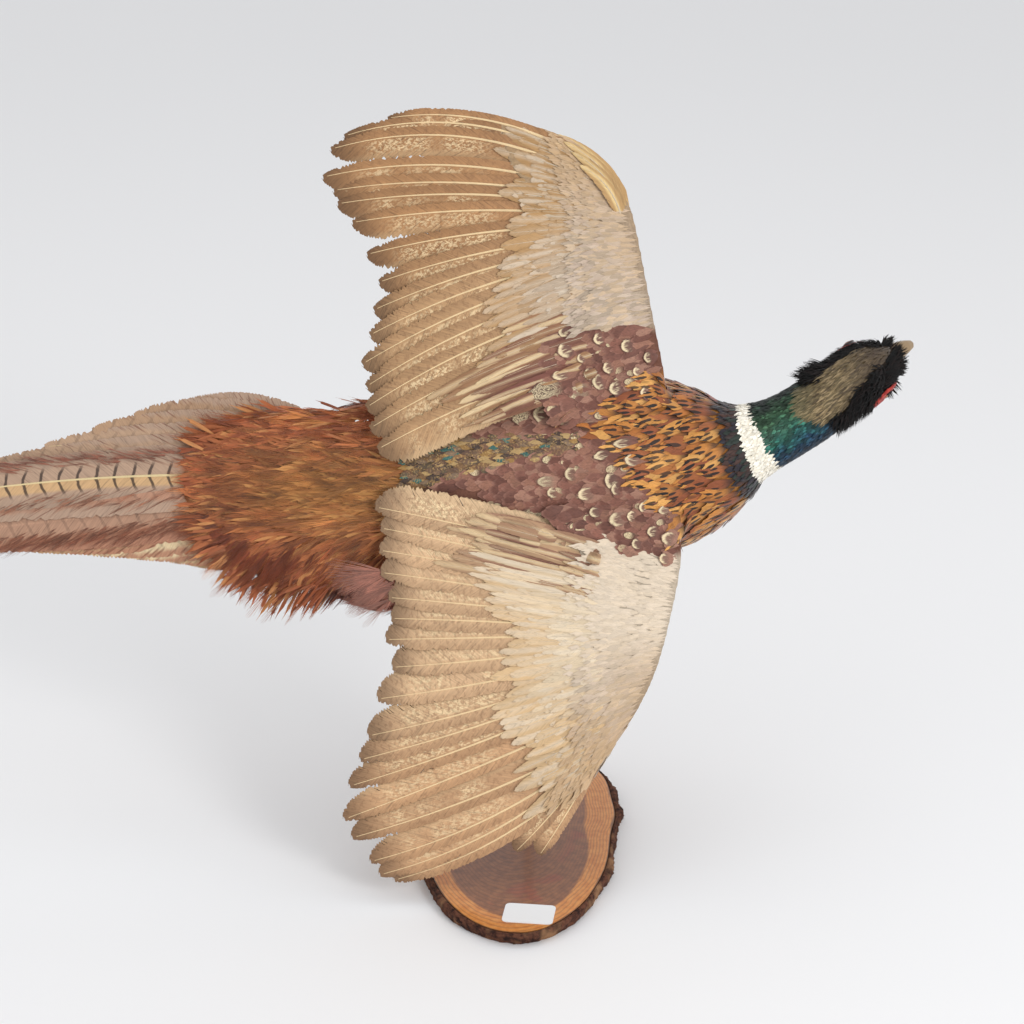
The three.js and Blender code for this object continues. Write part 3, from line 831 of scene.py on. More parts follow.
# %% The size of each zone's feathers
# in mm: length, half width, spacing and height of the tip over the skin
LENGTHS = {
    "crown": (8.5, 0.9, 1.25, 1.1), "face": (7.0, 0.7, 1.0, 2.6), "neck": (9.0, 1.2, 1.35, 1.3),
    "ring": (7.5, 1.3, 1.25, 1.2), "collar": (12, 2.0, 2.2, 1.8), "mantle": (27, 4.4, 5.5, 2.2),
    "scapular": (22, 5.2, 4.5, 1.5), "back": (16, 2.4, 2.9, 1.8), "rump": (33, 1.4, 3.2, 2.6),
    "covert": (19, 2.0, 2.45, 0.6), "under": (24, 6.0, 5.6, 1.3), "breast": (19, 5.4, 4.8, 2.2),
    "flank": (26, 6.5, 6.0, 2.6), "belly": (22, 5.0, 5.0, 2.6), "thigh": (18, 1.9, 3.3, 2.6),
}

# %% Dropping candidate places on the skin
CANDIDATES = 420000
rng = default_rng(5)
corner_places, corner_facing = corners_of(skin_mesh)
a, b, c = (skin.places[skin.corners[:, k]] for k in range(3))
area = np.linalg.norm(np.cross(b - a, c - a), axis=1)
chosen = rng.choice(len(area), CANDIDATES, p=area / area.sum())
r, s = np.sqrt(rng.random((CANDIDATES, 1))), rng.random((CANDIDATES, 1))
weights = (1 - r, r * (1 - s), r * s)
trio = skin.corners[chosen]
seeds = sum(w * corner_places[trio[:, k]] for k, w in enumerate(weights))
seed_facing = unit(sum(w * corner_facing[trio[:, k]] for k, w in enumerate(weights)))
seed_part = part_at[trio[:, 0]]
ROOT_X = 66  # where the flight feathers leave the arm
HAND_FROM, HAND_BEND = 195, 0.34  # beyond this the hand bends back, by this share
LEADING_SPACING = 1.8  # between the small feathers of the leading edges
seed_zone = zone_of(seeds, seed_facing, seed_part)
spacing = np.array([LENGTHS.get(name, (0, 0, 50, 0))[2] for name in ZONES])[seed_zone]
leading = (seed_zone == ZONE["covert"]) & (seed_facing[:, 0] > LEADING)
spacing[leading] = LEADING_SPACING
tree = KDTree(CANDIDATES)
for k, seed in enumerate(seeds):
    tree.insert(seed, k)
tree.balance()

# %% Places that stay bald
x, y, z = seeds.T
fore, aside, up = seed_facing.T
on_arm = np.isin(seed_part, (ARM_LEFT, ARM_RIGHT))
on_trunk = seed_part == TRUNK
in_zone = {name: seed_zone == number for name, number in ZONE.items()}
bald = in_zone["bare"] | (on_arm & (fore < -0.45))
bald |= in_zone["scapular"] & (x < -8) & (np.abs(y - 8) > 22)
bald |= in_zone["under"] & (up > -0.75) & (fore < 0.3)
bald |= in_zone["under"] & (np.abs(y) > 195) & ((x < 30) | (np.abs(y) > 225))
bald |= in_zone["flank"] & on_arm & (x < 48)
bald |= on_trunk & (np.abs(y) > 45) & (fore < -0.3)
bald |= on_trunk & ~in_zone["rump"] & (x < -98) & (z > -72)
cleft = (seed_part == RUMP) & (x > -145) & (fore > 0.2)
cleft |= on_trunk & (fore < -0.5) & ((up < 0.4) | (z < -40))
cleft |= on_trunk & (x < -95) & (fore > 0.3)
bald |= in_zone["rump"] & ((x < -234) | cleft)
row_root = ROOT_X - HAND_BEND * np.maximum(np.abs(y) - HAND_FROM, 0)
bald |= in_zone["covert"] & ((x < row_root - 14) | (np.abs(aside) > 0.75))
bald |= leading & (up < 0)

# %% Planting in even quincunxes
free = ~bald
kept = []
for k in rng.permutation(CANDIDATES):
    if free[k]:
        kept.append(k)
        for _, other, _ in tree.find_range(seeds[k], spacing[k]):
            free[other] = False
seeds, seed_facing, seed_zone = seeds[kept], seed_facing[kept], seed_zone[kept]
print("feather places:", counts(seed_zone))

# %% [markdown]
# ## The flight feathers' plan
# Every flight feather is laid out level on the wing: where its tip lies, where it leaves the arm
# and how far it bows away from the body on its way. Its height comes from the wing's own solid.

# %% Laying out the wings
# tip x, tip y, root y and bow, from the outermost feather to the innermost
QUILLS_LEFT = (
    (-98, 262, 230, 14), (-131, 249, 225, 20), (-141, 239, 216, 20), (-147, 218, 205, 14),
    (-139, 208, 199, 9), (-136, 198, 194, 8), (-125, 184, 188, 6), (-114, 160, 181, 5),
    (-105, 139, 174, 5), (-109, 118, 167, 6), (-112, 99, 159, 7), (-118, 77, 150, 8),
    (-115, 60, 138, 8), (-115, 44, 124, 8), (-112, 28, 106, 7), (-106, 12, 84, 5),
)
QUILLS_RIGHT = (
    (17, -296, -208, 2), (-1, -293, -210, 3), (-93, -315, -222, 13), (-104, -311, -218, 12),
    (-111, -301, -213, 10), (-125, -283, -204, 6), (-131, -269, -184, 2), (-127, -244, -167, 4),
    (-119, -224, -159, 4), (-113, -206, -151, 4), (-106, -178, -143, 3), (-95, -154, -135, 2),
    (-100, -133, -129, 0), (-96, -117, -124, -1), (-98, -101, -118, -1), (-104, -82, -111, -2),
    (-105, -65, -103, -3), (-104, -48, -92, -3), (-108, -32, -78, -3),
)


class Quill:
    """One large feather's level curve, from its root to its tip, and its height over that."""

    def __init__(self, surface, root, tip, bow, share=(0, 1), layer=0.5, lift=0.0, outward=0, sunk=0.0):
        root, tip = np.array(root, float), np.array(tip, float)
        ahead = unit(tip - root)
        away = np.array([ahead[1], -ahead[0]])
        if away[1] * (outward or root[1]) < 0:
            away = -away
        bend = (root + tip) / 2 + away * 2 * bow

        def between(s, t):
            return (1 - s) * (1 - t) * root + ((1 - s) * t + (1 - t) * s) * bend + s * t * tip

        start, end = share
        self.flat = between(start, start), between(start, end), between(end, end)
        t = np.linspace(0, 1, 9)
        line, side = self.level(t)
        heights = [surface.heights(line + side * shift, layer) for shift in (-8, 0, 8)]
        risen = np.minimum(t / 0.3, 1)
        self.height = np.polyfit(t, heights[1] + lift * risen - sunk * (1 - risen), 4)
        self.slope = np.polyfit(t, (heights[2] - heights[0]) / 16, 1)

    def level(self, t):
        """Level places on the shaft, and the way to its side."""
        places, ahead = arc(t[:, None], *self.flat)
        return places, np.column_stack([-ahead[:, 1], ahead[:, 0]])

    def along(self, t):
        """Places on the shaft, the way across the vane and the way up from it."""
        level, side = self.level(t)
        places = np.column_stack([level, np.polyval(self.height, t)])
        side = unit(np.column_stack([side, np.polyval(self.slope, t)]))
        ahead = unit(np.gradient(places, axis=0))
        return places, side, np.cross(ahead, side)


def root_x(y):
    """How far forward a quill leaves the arm."""
    return ROOT_X + (6 if y < 0 else 0) - HAND_BEND * max(abs(y) - HAND_FROM, 0)


def wing_plan(side, rows):
    """A wing's quills, laid on its own solids."""
    plates = Surface([nodes[f"wing_{side}_{part}"].data for part in ("primaries", "secondaries")])
    return [Quill(plates, (root_x(ry), ry), (tx, ty), bow, sunk=4.5) for tx, ty, ry, bow in rows]


wings = {"left": wing_plan("left", QUILLS_LEFT), "right": wing_plan("right", QUILLS_RIGHT)}
print("flight feathers:", {side: len(plan) for side, plan in wings.items()})

# %% [markdown]
# ## The lie of the plumage
# On the trunk and neck feathers point back along the body's line. On a wing they point as the
# flight feathers under them do, so the lie there is an average of the nearest quills' directions.

# %% Which way a feather points
BODY_LINE = np.array(
    [(-250, -21, -31), (-112, -15, -41), (40, -3, -63), (128, 4, -55), (182, 19, -33),
     (228, 43, -22), (261, 67.5, -15), (289, 86, -26)], float
)
WING_ZONES = ("covert", "under", "scapular")
STRIDES = 4  # short steps a feather takes over the ground
QUILL_REACH = 22.0  # how far a quill's direction is felt on the arm


def along_body(points, count):
    """The body's line in steps, the step nearest to each place and the line's direction there."""
    steps = np.linspace(0, len(BODY_LINE) - 1, count)
    line = np.column_stack([np.interp(steps, range(len(BODY_LINE)), axis) for axis in BODY_LINE.T])
    near = np.argmin(((points[:, None] - line[None]) ** 2).sum(-1), axis=1)
    return line, near, unit(np.gradient(line, axis=0))[near]


def lie_of(points, facing, zone):
    """The direction in which each feather points, before it is laid on the surface."""
    x, y, _ = points.T
    fore, aside, up = facing.T
    lie = -along_body(points, 60)[2]
    samples, ways = [], []
    for plan in wings.values():
        for quill in plan:
            t = np.linspace(0, 0.6, 6)
            place, side, _ = quill.along(t)
            samples.append(place)
            ways.append(unit(np.gradient(place, axis=0)))
    samples, ways = np.concatenate(samples), np.concatenate(ways)
    wing = np.isin(zone, [ZONE[name] for name in WING_ZONES])
    gap = ((points[wing][:, None, :2] - samples[None, :, :2]) ** 2).sum(-1)
    weight = np.exp(-gap / (2 * QUILL_REACH**2)) + 1e-12
    own = unit(weight @ ways)
    outboard = ramp(np.abs(y[wing]), 20, 90)[:, None]
    lie[wing] = unit(lie[wing] * (1 - outboard) + own * outboard)
    wrapped = (zone == ZONE["covert"]) & (fore > LEADING) & (up < 0.2) & (np.abs(aside) < 0.5)
    lie[wrapped] += (0, 0, 1.8)
    rump = zone == ZONE["rump"]
    off, aft = y[rump] + 20, ramp(-x[rump], 140, 190)
    spread = np.where(off > 0, 0.0025 * off * aft, -1.1 * ramp(-off, 18, 52))
    lie[rump] = unit(np.column_stack([-np.ones(len(off)), spread, np.zeros(len(off))]))
    face = zone == ZONE["face"]
    lie[face & (x > 279)] *= -1
    for middle, outward in zip(wattle_middles, (1, -1)):
        close = face & (np.linalg.norm(points - middle, axis=1) < 16)
        splayed = close & (up * outward > 0)
        lie[splayed] = unit(lie[splayed] + (-0.2, 0.5 if outward > 0 else -1.2, 0))
    return lie


CLING, CLING_LOOSE = 0.15, 0.6  # the sharpest bend of the ground that a feather follows
SUNK = 0.5  # how deep a feather's root lies in the skin
RAISED = 0.7  # how far it stands over the skin on a leading edge


def curves(points, facing, lie, length, tip_height, yaw, rng, loose=False, cling=CLING, sunk=SUNK):
    """Root, middle, tip and both ups of feathers that follow the ground, or stand free of it."""
    rounding = np.clip(-(lie * facing).sum(1, keepdims=True), 0, 1) * np.sign(facing[:, 2:] + 1e-6)
    lie = lie + rounding * (0, 0, 0.8)
    off = (lie * facing).sum(1) > 0.5 * np.linalg.norm(lie, axis=1)
    turned = unit(lie - (lie * facing).sum(1, keepdims=True) * facing * ~off[:, None])
    side = unit(np.cross(facing, turned))
    angle = np.clip(rng.normal(0, yaw, (len(points), 1)), -1.5 * yaw, 1.5 * yaw)
    way = unit(turned * np.cos(angle) + side * np.sin(angle))
    free = off | loose
    step = length[:, None] / STRIDES
    place, up, stops, ups = points, facing, [], []
    for _ in range(STRIDES):
        way = unit(way - (way * up).sum(1, keepdims=True) * up * ~free[:, None])
        over = place + way * step
        found, normal = ground.below(over, up, 5.0)
        lost = free | ((normal * up).sum(1) < cling)
        lost |= np.linalg.norm(found - over, axis=1) > 2 + 0.7 * step[:, 0]
        found[lost], normal[lost] = over[lost], up[lost]
        place, up = found, unit(up + normal)
        stops.append(place)
        ups.append(up)
    rise = tip_height[:, None]
    root = points - facing * sunk
    tip = stops[-1] + ups[-1] * rise
    half = STRIDES // 2 - 1
    middle = 2 * (stops[half] + ups[half] * (0.45 * rise + 0.3)) - (root + tip) / 2
    quarter = 0.5625 * root + 0.375 * middle + 0.0625 * tip
    hidden = ((stops[0] + ups[0] * 0.25 - quarter) * ups[0]).sum(1, keepdims=True)
    middle += ups[0] * np.clip(hidden, 0, 1.5) / 0.375
    return root, middle, tip, facing, up


# %% [markdown]
# ## Finishes for plumage
# All plumage shares one finish: the feather's own tint, darkened and lightened along its barbs,
# with a paler shaft line. A zone adds its markings as masks over the vane. Barbs are finer than a
# mesh can carry, so they are a stretched noise in colour and bump.

# %% The shared plumage finish
def plumage(
    name, marking=None, rough=0.62, barbs=26.0, contrast=0.9, lean=0.34, grain=1.6, sheen=0.25, **constants
):
    """marking takes the finish, across, along, the two colours and the traits, and gives a colour."""
    finish = Finish(name, Roughness=rough, Sheen_Weight=sheen, Specular_IOR_Level=0.3, **constants)
    across, along = finish.vane()
    tint, mark, trait = (finish.attribute(part) for part in ("tint", "mark", "trait"))
    amount, seed = finish.channel(trait, 0), finish.channel(trait, 1)
    shift = seed * 40
    barb = (along - across.size() * lean) * barbs
    threads = finish.noise(finish.point(across * grain + shift, barb, seed * 9), 1.0, 3.0, 0.65)
    colour = tint
    if marking:
        colour = marking(finish, across, along, tint, mark, amount, seed)
    shaft = 1 - (across + (threads - 0.5) * 0.03).size().step(0.02, 0.06)
    # painted shade: thin dark lines where the barbs part
    slit_shade = (1 - threads.step(0.30, 0.40)) * 0.25
    light = threads * contrast + (1.03 - contrast / 2)
    light = light + shaft * 0.14 * (1 - along.step(0.6, 0.95)) - slit_shade
    finish.feed("Base Color", finish.shade(colour, light))
    finish.bump(threads, 0.5, 0.35 * MM)
    return finish.material


def wandering(finish, x, y, seed):
    """Soft noise about 0 that differs from feather to feather."""
    return finish.noise(finish.point(x, y, seed * 20), 1.0, 2.0) - 0.5


def shell_marks(finish, across, along, tint, mark, amount, seed):
    """A cream shell with a black line round it, fine dark lines in it and a maroon edge."""
    reach = ((across * across) * 1.6 + (along - 0.70) * (along - 0.70) * 13.0) ** 0.5
    inner = 1 - reach.step(0.66, 0.74)
    line = 1 - reach.step(0.82, 0.92)
    comb = finish.noise(finish.point(across * 3.0, along * 34 + seed * 30, seed * 7), 1.0, 1.0)
    cream = finish.blend(comb.step(0.52, 0.62) * 0.55, mark, "54382A")
    edge = (along + across * across * 0.3).step(0.84, 1.0) * 0.45
    rimmed = finish.blend(edge, tint, "A07464")
    dark = finish.blend(line * amount * 0.6, rimmed, "241410")
    return finish.blend(inner * amount * along.step(0.5, 0.75), dark, cream)


def drop_marks(finish, across, along, tint, mark, amount, seed):
    """One or two black dashes near the tip, a dark root and a darker rim."""
    wobble = wandering(finish, across * 2, along * 8, seed)
    ahead = (along - 0.74) * (along - 0.74) * 22.0
    first = across - 0.42
    second = across + 0.5
    dashes = 1 - ((first * first * 9.0 + ahead) ** 0.5 + wobble * 0.5).step(0.74, 0.96)
    other = 1 - ((second * second * 9.0 + ahead) ** 0.5 + wobble * 0.5).step(0.6, 0.85)
    drop = dashes.math("MAXIMUM", other * seed.step(0.35, 0.45))
    base = finish.blend((1 - along.step(0.2, 0.55)) * 0.85, tint, "2A1810")
    rim = (across.size() + along.step(0.8, 1.0) * 0.6).step(0.8, 1.05)
    edged = finish.blend(rim * 0.55, base, "4A2814")
    return finish.blend(drop * amount, edged, mark)


def edge_marks(finish, across, along, tint, mark, amount, seed):
    """A dark rim round the tip."""
    rim = (along + across * across * 0.35).step(0.84, 0.97)
    return finish.blend(rim * amount, tint, mark)


def mottle_marks(finish, across, along, tint, mark, amount, seed):
    """Broken cross bars and flecks."""
    bars = finish.noise(finish.point(across * 1.5 + seed * 9, along * 11, seed * 31), 1.0, 2.0)
    return finish.blend(bars.step(0.5, 0.6) * amount, tint, mark)


def soft_marks(finish, across, along, tint, mark, amount, seed):
    """A soft rim of the second colour."""
    rim = across.size().step(0.3, 1.0) * 0.4 + along.step(0.7, 1.0) * 0.3
    return finish.blend(rim * amount, tint, mark)


COAT_FINISH = {
    "crown": plumage("crown_down", rough=0.6, barbs=3, grain=3, contrast=1.2),
    "face": plumage("face_velvet", rough=0.85, barbs=3, grain=3, contrast=0.8, sheen=0.05),
    "neck": plumage("neck_gloss", rough=0.4, barbs=4, grain=3, contrast=1.0, sheen=0.0, Metallic=0.3),
    "ring": plumage("ring_white", rough=0.6, barbs=4, grain=3, contrast=0.25),
    "collar": plumage("collar_brown", edge_marks, rough=0.5, barbs=12),
    "mantle": plumage("mantle_gold", drop_marks, rough=0.55, barbs=20, contrast=1.2),
    "scapular": plumage("scapular_maroon", shell_marks, rough=0.6, barbs=12, grain=4, contrast=1.2),
    "back": plumage("back_mottle", mottle_marks, rough=0.5, barbs=12, grain=3),
    "rump": plumage("rump_rufous", rough=0.55, barbs=3, grain=7, contrast=1.5),
    "covert": plumage("covert_grey", soft_marks, barbs=5, grain=5, contrast=0.55),
    "under": plumage("under_wing", soft_marks, barbs=24, contrast=0.6),
    "breast": plumage("breast_copper", edge_marks, rough=0.4, barbs=20),
    "flank": plumage("flank_buff", drop_marks, barbs=24),
    "belly": plumage("belly_brown", barbs=24, contrast=0.7),
    "thigh": plumage("thigh_brown", barbs=3, grain=7, contrast=1.3),
}

# %% [markdown]
# ## The body coats
# Each zone becomes one mesh, so that none is too heavy. A feather's place on the map is its root's
# place on an unwrap of the skin's own shape: along the body's line one way and round it the other,
# or across the wing and along it. Its patch is as wide as its neighbours allow.

# %% Unwrapping roots
def unwrapped(points, wing):
    """Places from 0 to 1 on an unwrap of the skin: round the body, or over a wing from above."""
    if wing:
        flat = points[:, :2].copy()
    else:
        line, near, way = along_body(points, 90)
        travelled = np.concatenate([[0], np.cumsum(np.linalg.norm(np.diff(line, axis=0), axis=1))])
        away = points - line[near]
        turn = np.arctan2(away[:, 1], away[:, 2])
        flat = np.column_stack([travelled[near] + (away * way).sum(1), turn * 60])
    low, high = flat.min(0), flat.max(0)
    return 0.02 + 0.96 * (flat - low) / np.maximum(high - low, 1e-6)


SMALLEST_PATCH, BIGGEST_PATCH = 0.003, 0.03


def patch_size(places):
    """A patch that mostly stays clear of the next ones."""
    tree = KDTree(len(places))
    for k, place in enumerate(places):
        tree.insert((*place, 0), k)
    tree.balance()
    gaps = [tree.find_n((*place, 0), 2)[-1][2] for place in places]
    return float(np.clip(np.percentile(gaps, 30) * 0.8, SMALLEST_PATCH, BIGGEST_PATCH))


# each zone's second colour, and the least and most that a feather shows of it
MARKS = {
    "collar": (paint("0E0A10"), 0.5, 1.0), "mantle": (paint("130E0E"), 0.8, 1.0),
    "scapular": (paint("E3CFA4"), 0.0, 1.0), "back": (paint("B8965E"), 0.1, 0.8),
    "covert": (paint("DCCFBC"), 0.0, 0.6), "under": (paint("EAE4DA"), 0.3, 0.9),
    "breast": (paint("140C14"), 0.6, 1.0), "flank": (paint("15100F"), 0.6, 1.0),
}
SHAPES = {
    "crown": BRISTLES, "face": BRISTLES, "covert": SLIPS, "neck": TUFTS, "ring": TUFTS, "collar": SLIPS,
    "mantle": SPIKES, "scapular": SCALES, "back": SLIPS, "thigh": HAIRS, "rump": HAIRS,
}
YAWS = {"face": 0.5, "crown": 0.16, "rump": 0.28, "thigh": 0.3, "mantle": 0.18, "scapular": 0.08}
THICK, DROOP = 0.12, 0.16
EAR = (228, 74)  # where the left ear's tuft stands out, in x and y


def heights_of(name, points, up, high):
    """How high the tips stand: higher over the quills' roots and on the cheeks."""
    if name == "covert":
        high += 2.4 * ramp(points[:, 0], 88, 64)
    if name == "face":
        right = points[:, 1] < 0.9 * (points[:, 0] - 220) + 35
        fore = ramp(points[:, 0], 270, 282)
        high *= 1 + 0.9 * right * (1 - fore) + 0.15 * fore
        over_left = np.linalg.norm(points - wattle_middles[0], axis=1) < 15
        high += 1.5 * over_left * (up[:, 2] > 0)
    return high


def coat_of(name, rng):
    """The feathers of one zone, joined."""
    here = np.flatnonzero(seed_zone == ZONE[name])
    points, up = seeds[here], seed_facing[here]
    length, half, _, height = LENGTHS[name]
    reach = length * rng.uniform(0.82, 1.18, len(here))
    if name in WING_ZONES:
        reach *= 0.7 + 0.3 * ramp(points[:, 0], 115, 90)
    wide = half * reach / length * rng.uniform(0.88, 1.12, len(here))
    high = heights_of(name, points, up, height * rng.uniform(0.7, 1.3, len(here)))
    if name in ("face", "neck", "crown"):
        ear = np.linalg.norm(points[:, :2] - EAR, axis=1) < 9
        high, reach = high * (1 + 2.2 * ear), reach * (1 + 0.4 * ear)
    lie = lie_of(points, up, seed_zone[here])
    cling = CLING_LOOSE if name == "rump" else CLING
    in_front = (up[:, :1] > LEADING) & (name in ("covert", "scapular"))
    sunk = np.where(in_front, -RAISED, SUNK)
    curve = curves(points, up, lie, reach, high, YAWS.get(name, 0.12), rng, cling=cling, sunk=sunk)
    if name == "under":
        for place in curve[1:3]:
            place[:, 2] = np.minimum(place[:, 2], points[:, 2] - 0.3)
    tint = tint_of(points, seed_zone[here], rng)
    mark, low, top = MARKS.get(name, (paint("808080"), 0, 0))
    amount = rng.uniform(low, top, len(here))
    if name == "mantle":
        amount *= rng.random(len(here)) < 0.92
    if name == "scapular":
        amount = (rng.random(len(here)) < 0.10) * rng.uniform(0.4, 0.9, len(here))
    mark = mark * rng.uniform(0.85, 1.1, (len(here), 1))
    colours = tint, mark, np.column_stack([amount, rng.random(len(here)), rng.random(len(here))])
    flat = unwrapped(points, name in WING_ZONES)
    shapes = SHAPES.get(name, COVERTS)
    kind = rng.integers(0, len(shapes), len(here))
    coat = Coat()
    coat.grow(shapes, kind, curve, wide, THICK, DROOP, colours, flat, patch_size(flat))
    return coat


SLOT = {name: "neck_plumage" for name in ("crown", "face", "neck", "ring")}
SLOT |= {"covert": "wing_plumage", "under": "wing_plumage"}
rng = default_rng(21)
for name, finish in COAT_FINISH.items():
    coat_of(name, rng).build(f"coat_{name}", finish, SLOT.get(name, "body_plumage"))

# %% [markdown]
# ## The shoulders' pale shells
# Between the maroon feathers stand paler ones: cream shells with a dark line round them, and a few
# long ones with fine wavy lines. There are few enough to set one by one.

# %% Setting the shells
# middle x and y, visible length and half width in mm, and how strong the wavy lines are
SHELLS = (
    (24, 60, 28, 6.5, 1), (50, 55, 17, 6.5, 0.7), (35, 69, 15, 4, 0.3), (38, 90, 14, 6, 0.2),
    (-10, 44, 22, 9, 1), (5, 39, 16, 7, 0.9), (20, 37, 13, 7.5, 0.6), (37, 36, 11, 5.5, 0.4),
    (54, 36, 17, 6, 0.3), (16, -31, 33, 7, 1), (73, -9, 12, 6.5, 0.2), (54, -20, 14, 5, 0.3),
    (78, -38, 14, 5.5, 0.2), (76, 60, 11, 5, 0.2), (85, 90, 10, 5, 0.1), (63, 97, 9, 4.5, 0.1),
    (49, 83, 7, 3.5, 0.2), (92, 71, 7, 3.5, 0.2), (66, 11, 15, 3.5, 0.6), (82, 17, 16, 3.5, 0.6),
    (24, -14, 15, 4, 0.7), (28, -20, 9, 4, 0.2), (76, -20, 8, 4.5, 0.2), (89, 2, 13, 4.5, 0.3),
    (124, -58, 12, 5, 0.1), (113, -33, 10, 3.5, 0.2), (97, -33, 8, 4, 0.1), (88, -41, 8, 4, 0.1),
    (63, 64, 10, 6, 0.5), (-22, 58, 20, 5, 0.8), (98, 54, 8, 4, 0.3), (104, 82, 8, 4, 0.1),
    (70, 76, 9, 4.5, 0.4), (56, 70, 9, 4.5, 0.4), (42, -8, 10, 5, 0.5), (60, -34, 9, 4, 0.3),
    (104, -50, 9, 4, 0.2), (92, -58, 8, 4, 0.3), (116, -70, 9, 4, 0.2), (36, 104, 10, 4, 0.2),
)


def shell_lines(finish, across, along, tint, mark, amount, seed):
    """A pale crescent round a streaked middle, or wavy dark lines, and a dark line round it all."""
    wander = wandering(finish, across * 4, along * 12, seed)
    reach = ((across * across) * 1.3 + (along - 0.66) * (along - 0.66) * 6.0) ** 0.5 + wander * 0.2
    inner = (1 - reach.step(0.66, 0.78)) * along.step(0.44, 0.66)
    line = (1 - reach.step(0.78, 0.92)) * along.step(0.66, 0.86)
    wave = (reach * 8 + wander * 3.0).math("FRACT").step(0.45, 0.7) * amount.step(0.5, 0.9)
    streak = finish.noise(finish.point(across * 8 + seed * 30, along * 2.5, seed * 11), 1.0, 2.0)
    crescent = reach.step(0.34, 0.58) * (along - across.size() * 0.12).step(0.6, 0.76)
    pale = crescent.math("MAXIMUM", streak.step(0.52, 0.62) * along.step(0.5, 0.7) * 0.8)
    pale = pale.math("MAXIMUM", amount.step(0.6, 0.9) * 0.9)
    cream = finish.blend(wave * 0.85, mark, "4A3428")
    middle = finish.blend(0.5, tint, "5E4A40")
    filled = finish.blend(pale, middle, cream)
    dark = finish.blend(line * 0.45, tint, "2A1612")
    return finish.blend(inner, dark, filled)


def shells(rng):
    table = np.array(SHELLS)
    long, wide = table[:, 2] * 1.9, table[:, 3] / 0.62
    scapular = np.full(len(table), ZONE["scapular"])
    start = np.column_stack([table[:, :2], skin.heights(table[:, :2], 1.0)])
    up = np.repeat([[0.0, 0.0, 1.0]], len(table), 0)
    lie = lie_of(start, up, scapular)
    level = table[:, :2] - lie[:, :2] * 0.66 * long[:, None]
    over = np.column_stack([level, skin.heights(level, 1.0)])
    points, _, _ = skin.nearest(over)
    curve = curves(points, up, lie, long, rng.uniform(2.3, 3.0, len(table)), 0.12, rng)
    tint = PAINTS["scapular"][rng.integers(0, 5, len(table))]
    mark = paint("DCC8A2") * rng.uniform(0.9, 1.08, (len(table), 1))
    mark *= 1 - 0.18 * table[:, 4:5]
    colours = tint, mark, np.column_stack([table[:, 4], rng.random(len(table)), rng.random(len(table))])
    cell = np.arange(len(table))
    flat = np.column_stack([(cell % 7 + 0.5) / 7, (cell // 7 + 0.5) / 7])
    coat = Coat()
    coat.grow(SHELLED, cell * 0, curve, wide, THICK, 0.1, colours, flat, 0.13)
    return coat


shell_finish = plumage("shoulder_shells", shell_lines, rough=0.6, barbs=12.0, grain=4, contrast=0.9)
shells(default_rng(25)).build("shoulder_shells", shell_finish, "body_plumage")

# %% [markdown]
# ## Loose plumes
# Over the tail's root, flanks and thighs the barbs do not hook together. They part like hair, so
# plumes of single barbs lie over the feathers there, and some hang free at the edge.

# %% Hairlike plumes
# length, half width, height of the tip, turn and the share of the zone's feathers they lie over
PLUME_ZONES = {"rump": (36, 3.6, 3.6, 0.18, 0.5), "thigh": (24, 2.8, 3.6, 0.3, 0.3)}
# for each zone: root x and y, direction in degrees from straight back to the right, and length
HANGING = {
    "rump": (
        (-150, -66, 48, 30), (-160, -64, 52, 40), (-168, -66, 56, 44), (-176, -64, 58, 46),
        (-184, -66, 56, 44), (-192, -64, 50, 42), (-200, -62, 46, 36), (-210, -58, 40, 32),
        (-218, -54, 30, 34), (-172, -60, 60, 40), (-188, -60, 55, 44), (-204, -56, 42, 38),
        (-180, -68, 62, 34), (-164, -68, 45, 34), (-196, -66, 52, 30), (-224, -50, 24, 36),
    ),
    "thigh": (
        (-112, -72, 4, 44), (-110, -76, 10, 46), (-106, -80, 16, 44), (-104, -84, 20, 42),
        (-100, -88, 26, 38), (-98, -92, 32, 36), (-94, -94, 40, 34), (-108, -74, 0, 38),
        (-102, -82, 12, 50), (-98, -86, 22, 46), (-94, -90, 30, 44), (-90, -94, 46, 32),
        (-104, -78, 8, 50), (-96, -92, 38, 40), (-100, -84, 18, 52),
    ),
}
# painted light: the hanging thigh plumes get a lighter plum than the thigh's own paints, so that they read
# as lit
HANGING_TINTS = {"rump": "8A4220", "thigh": "A87462"}
HANGING_RISE = {"rump": -0.1, "thigh": 0.12}  # how steeply they leave the body


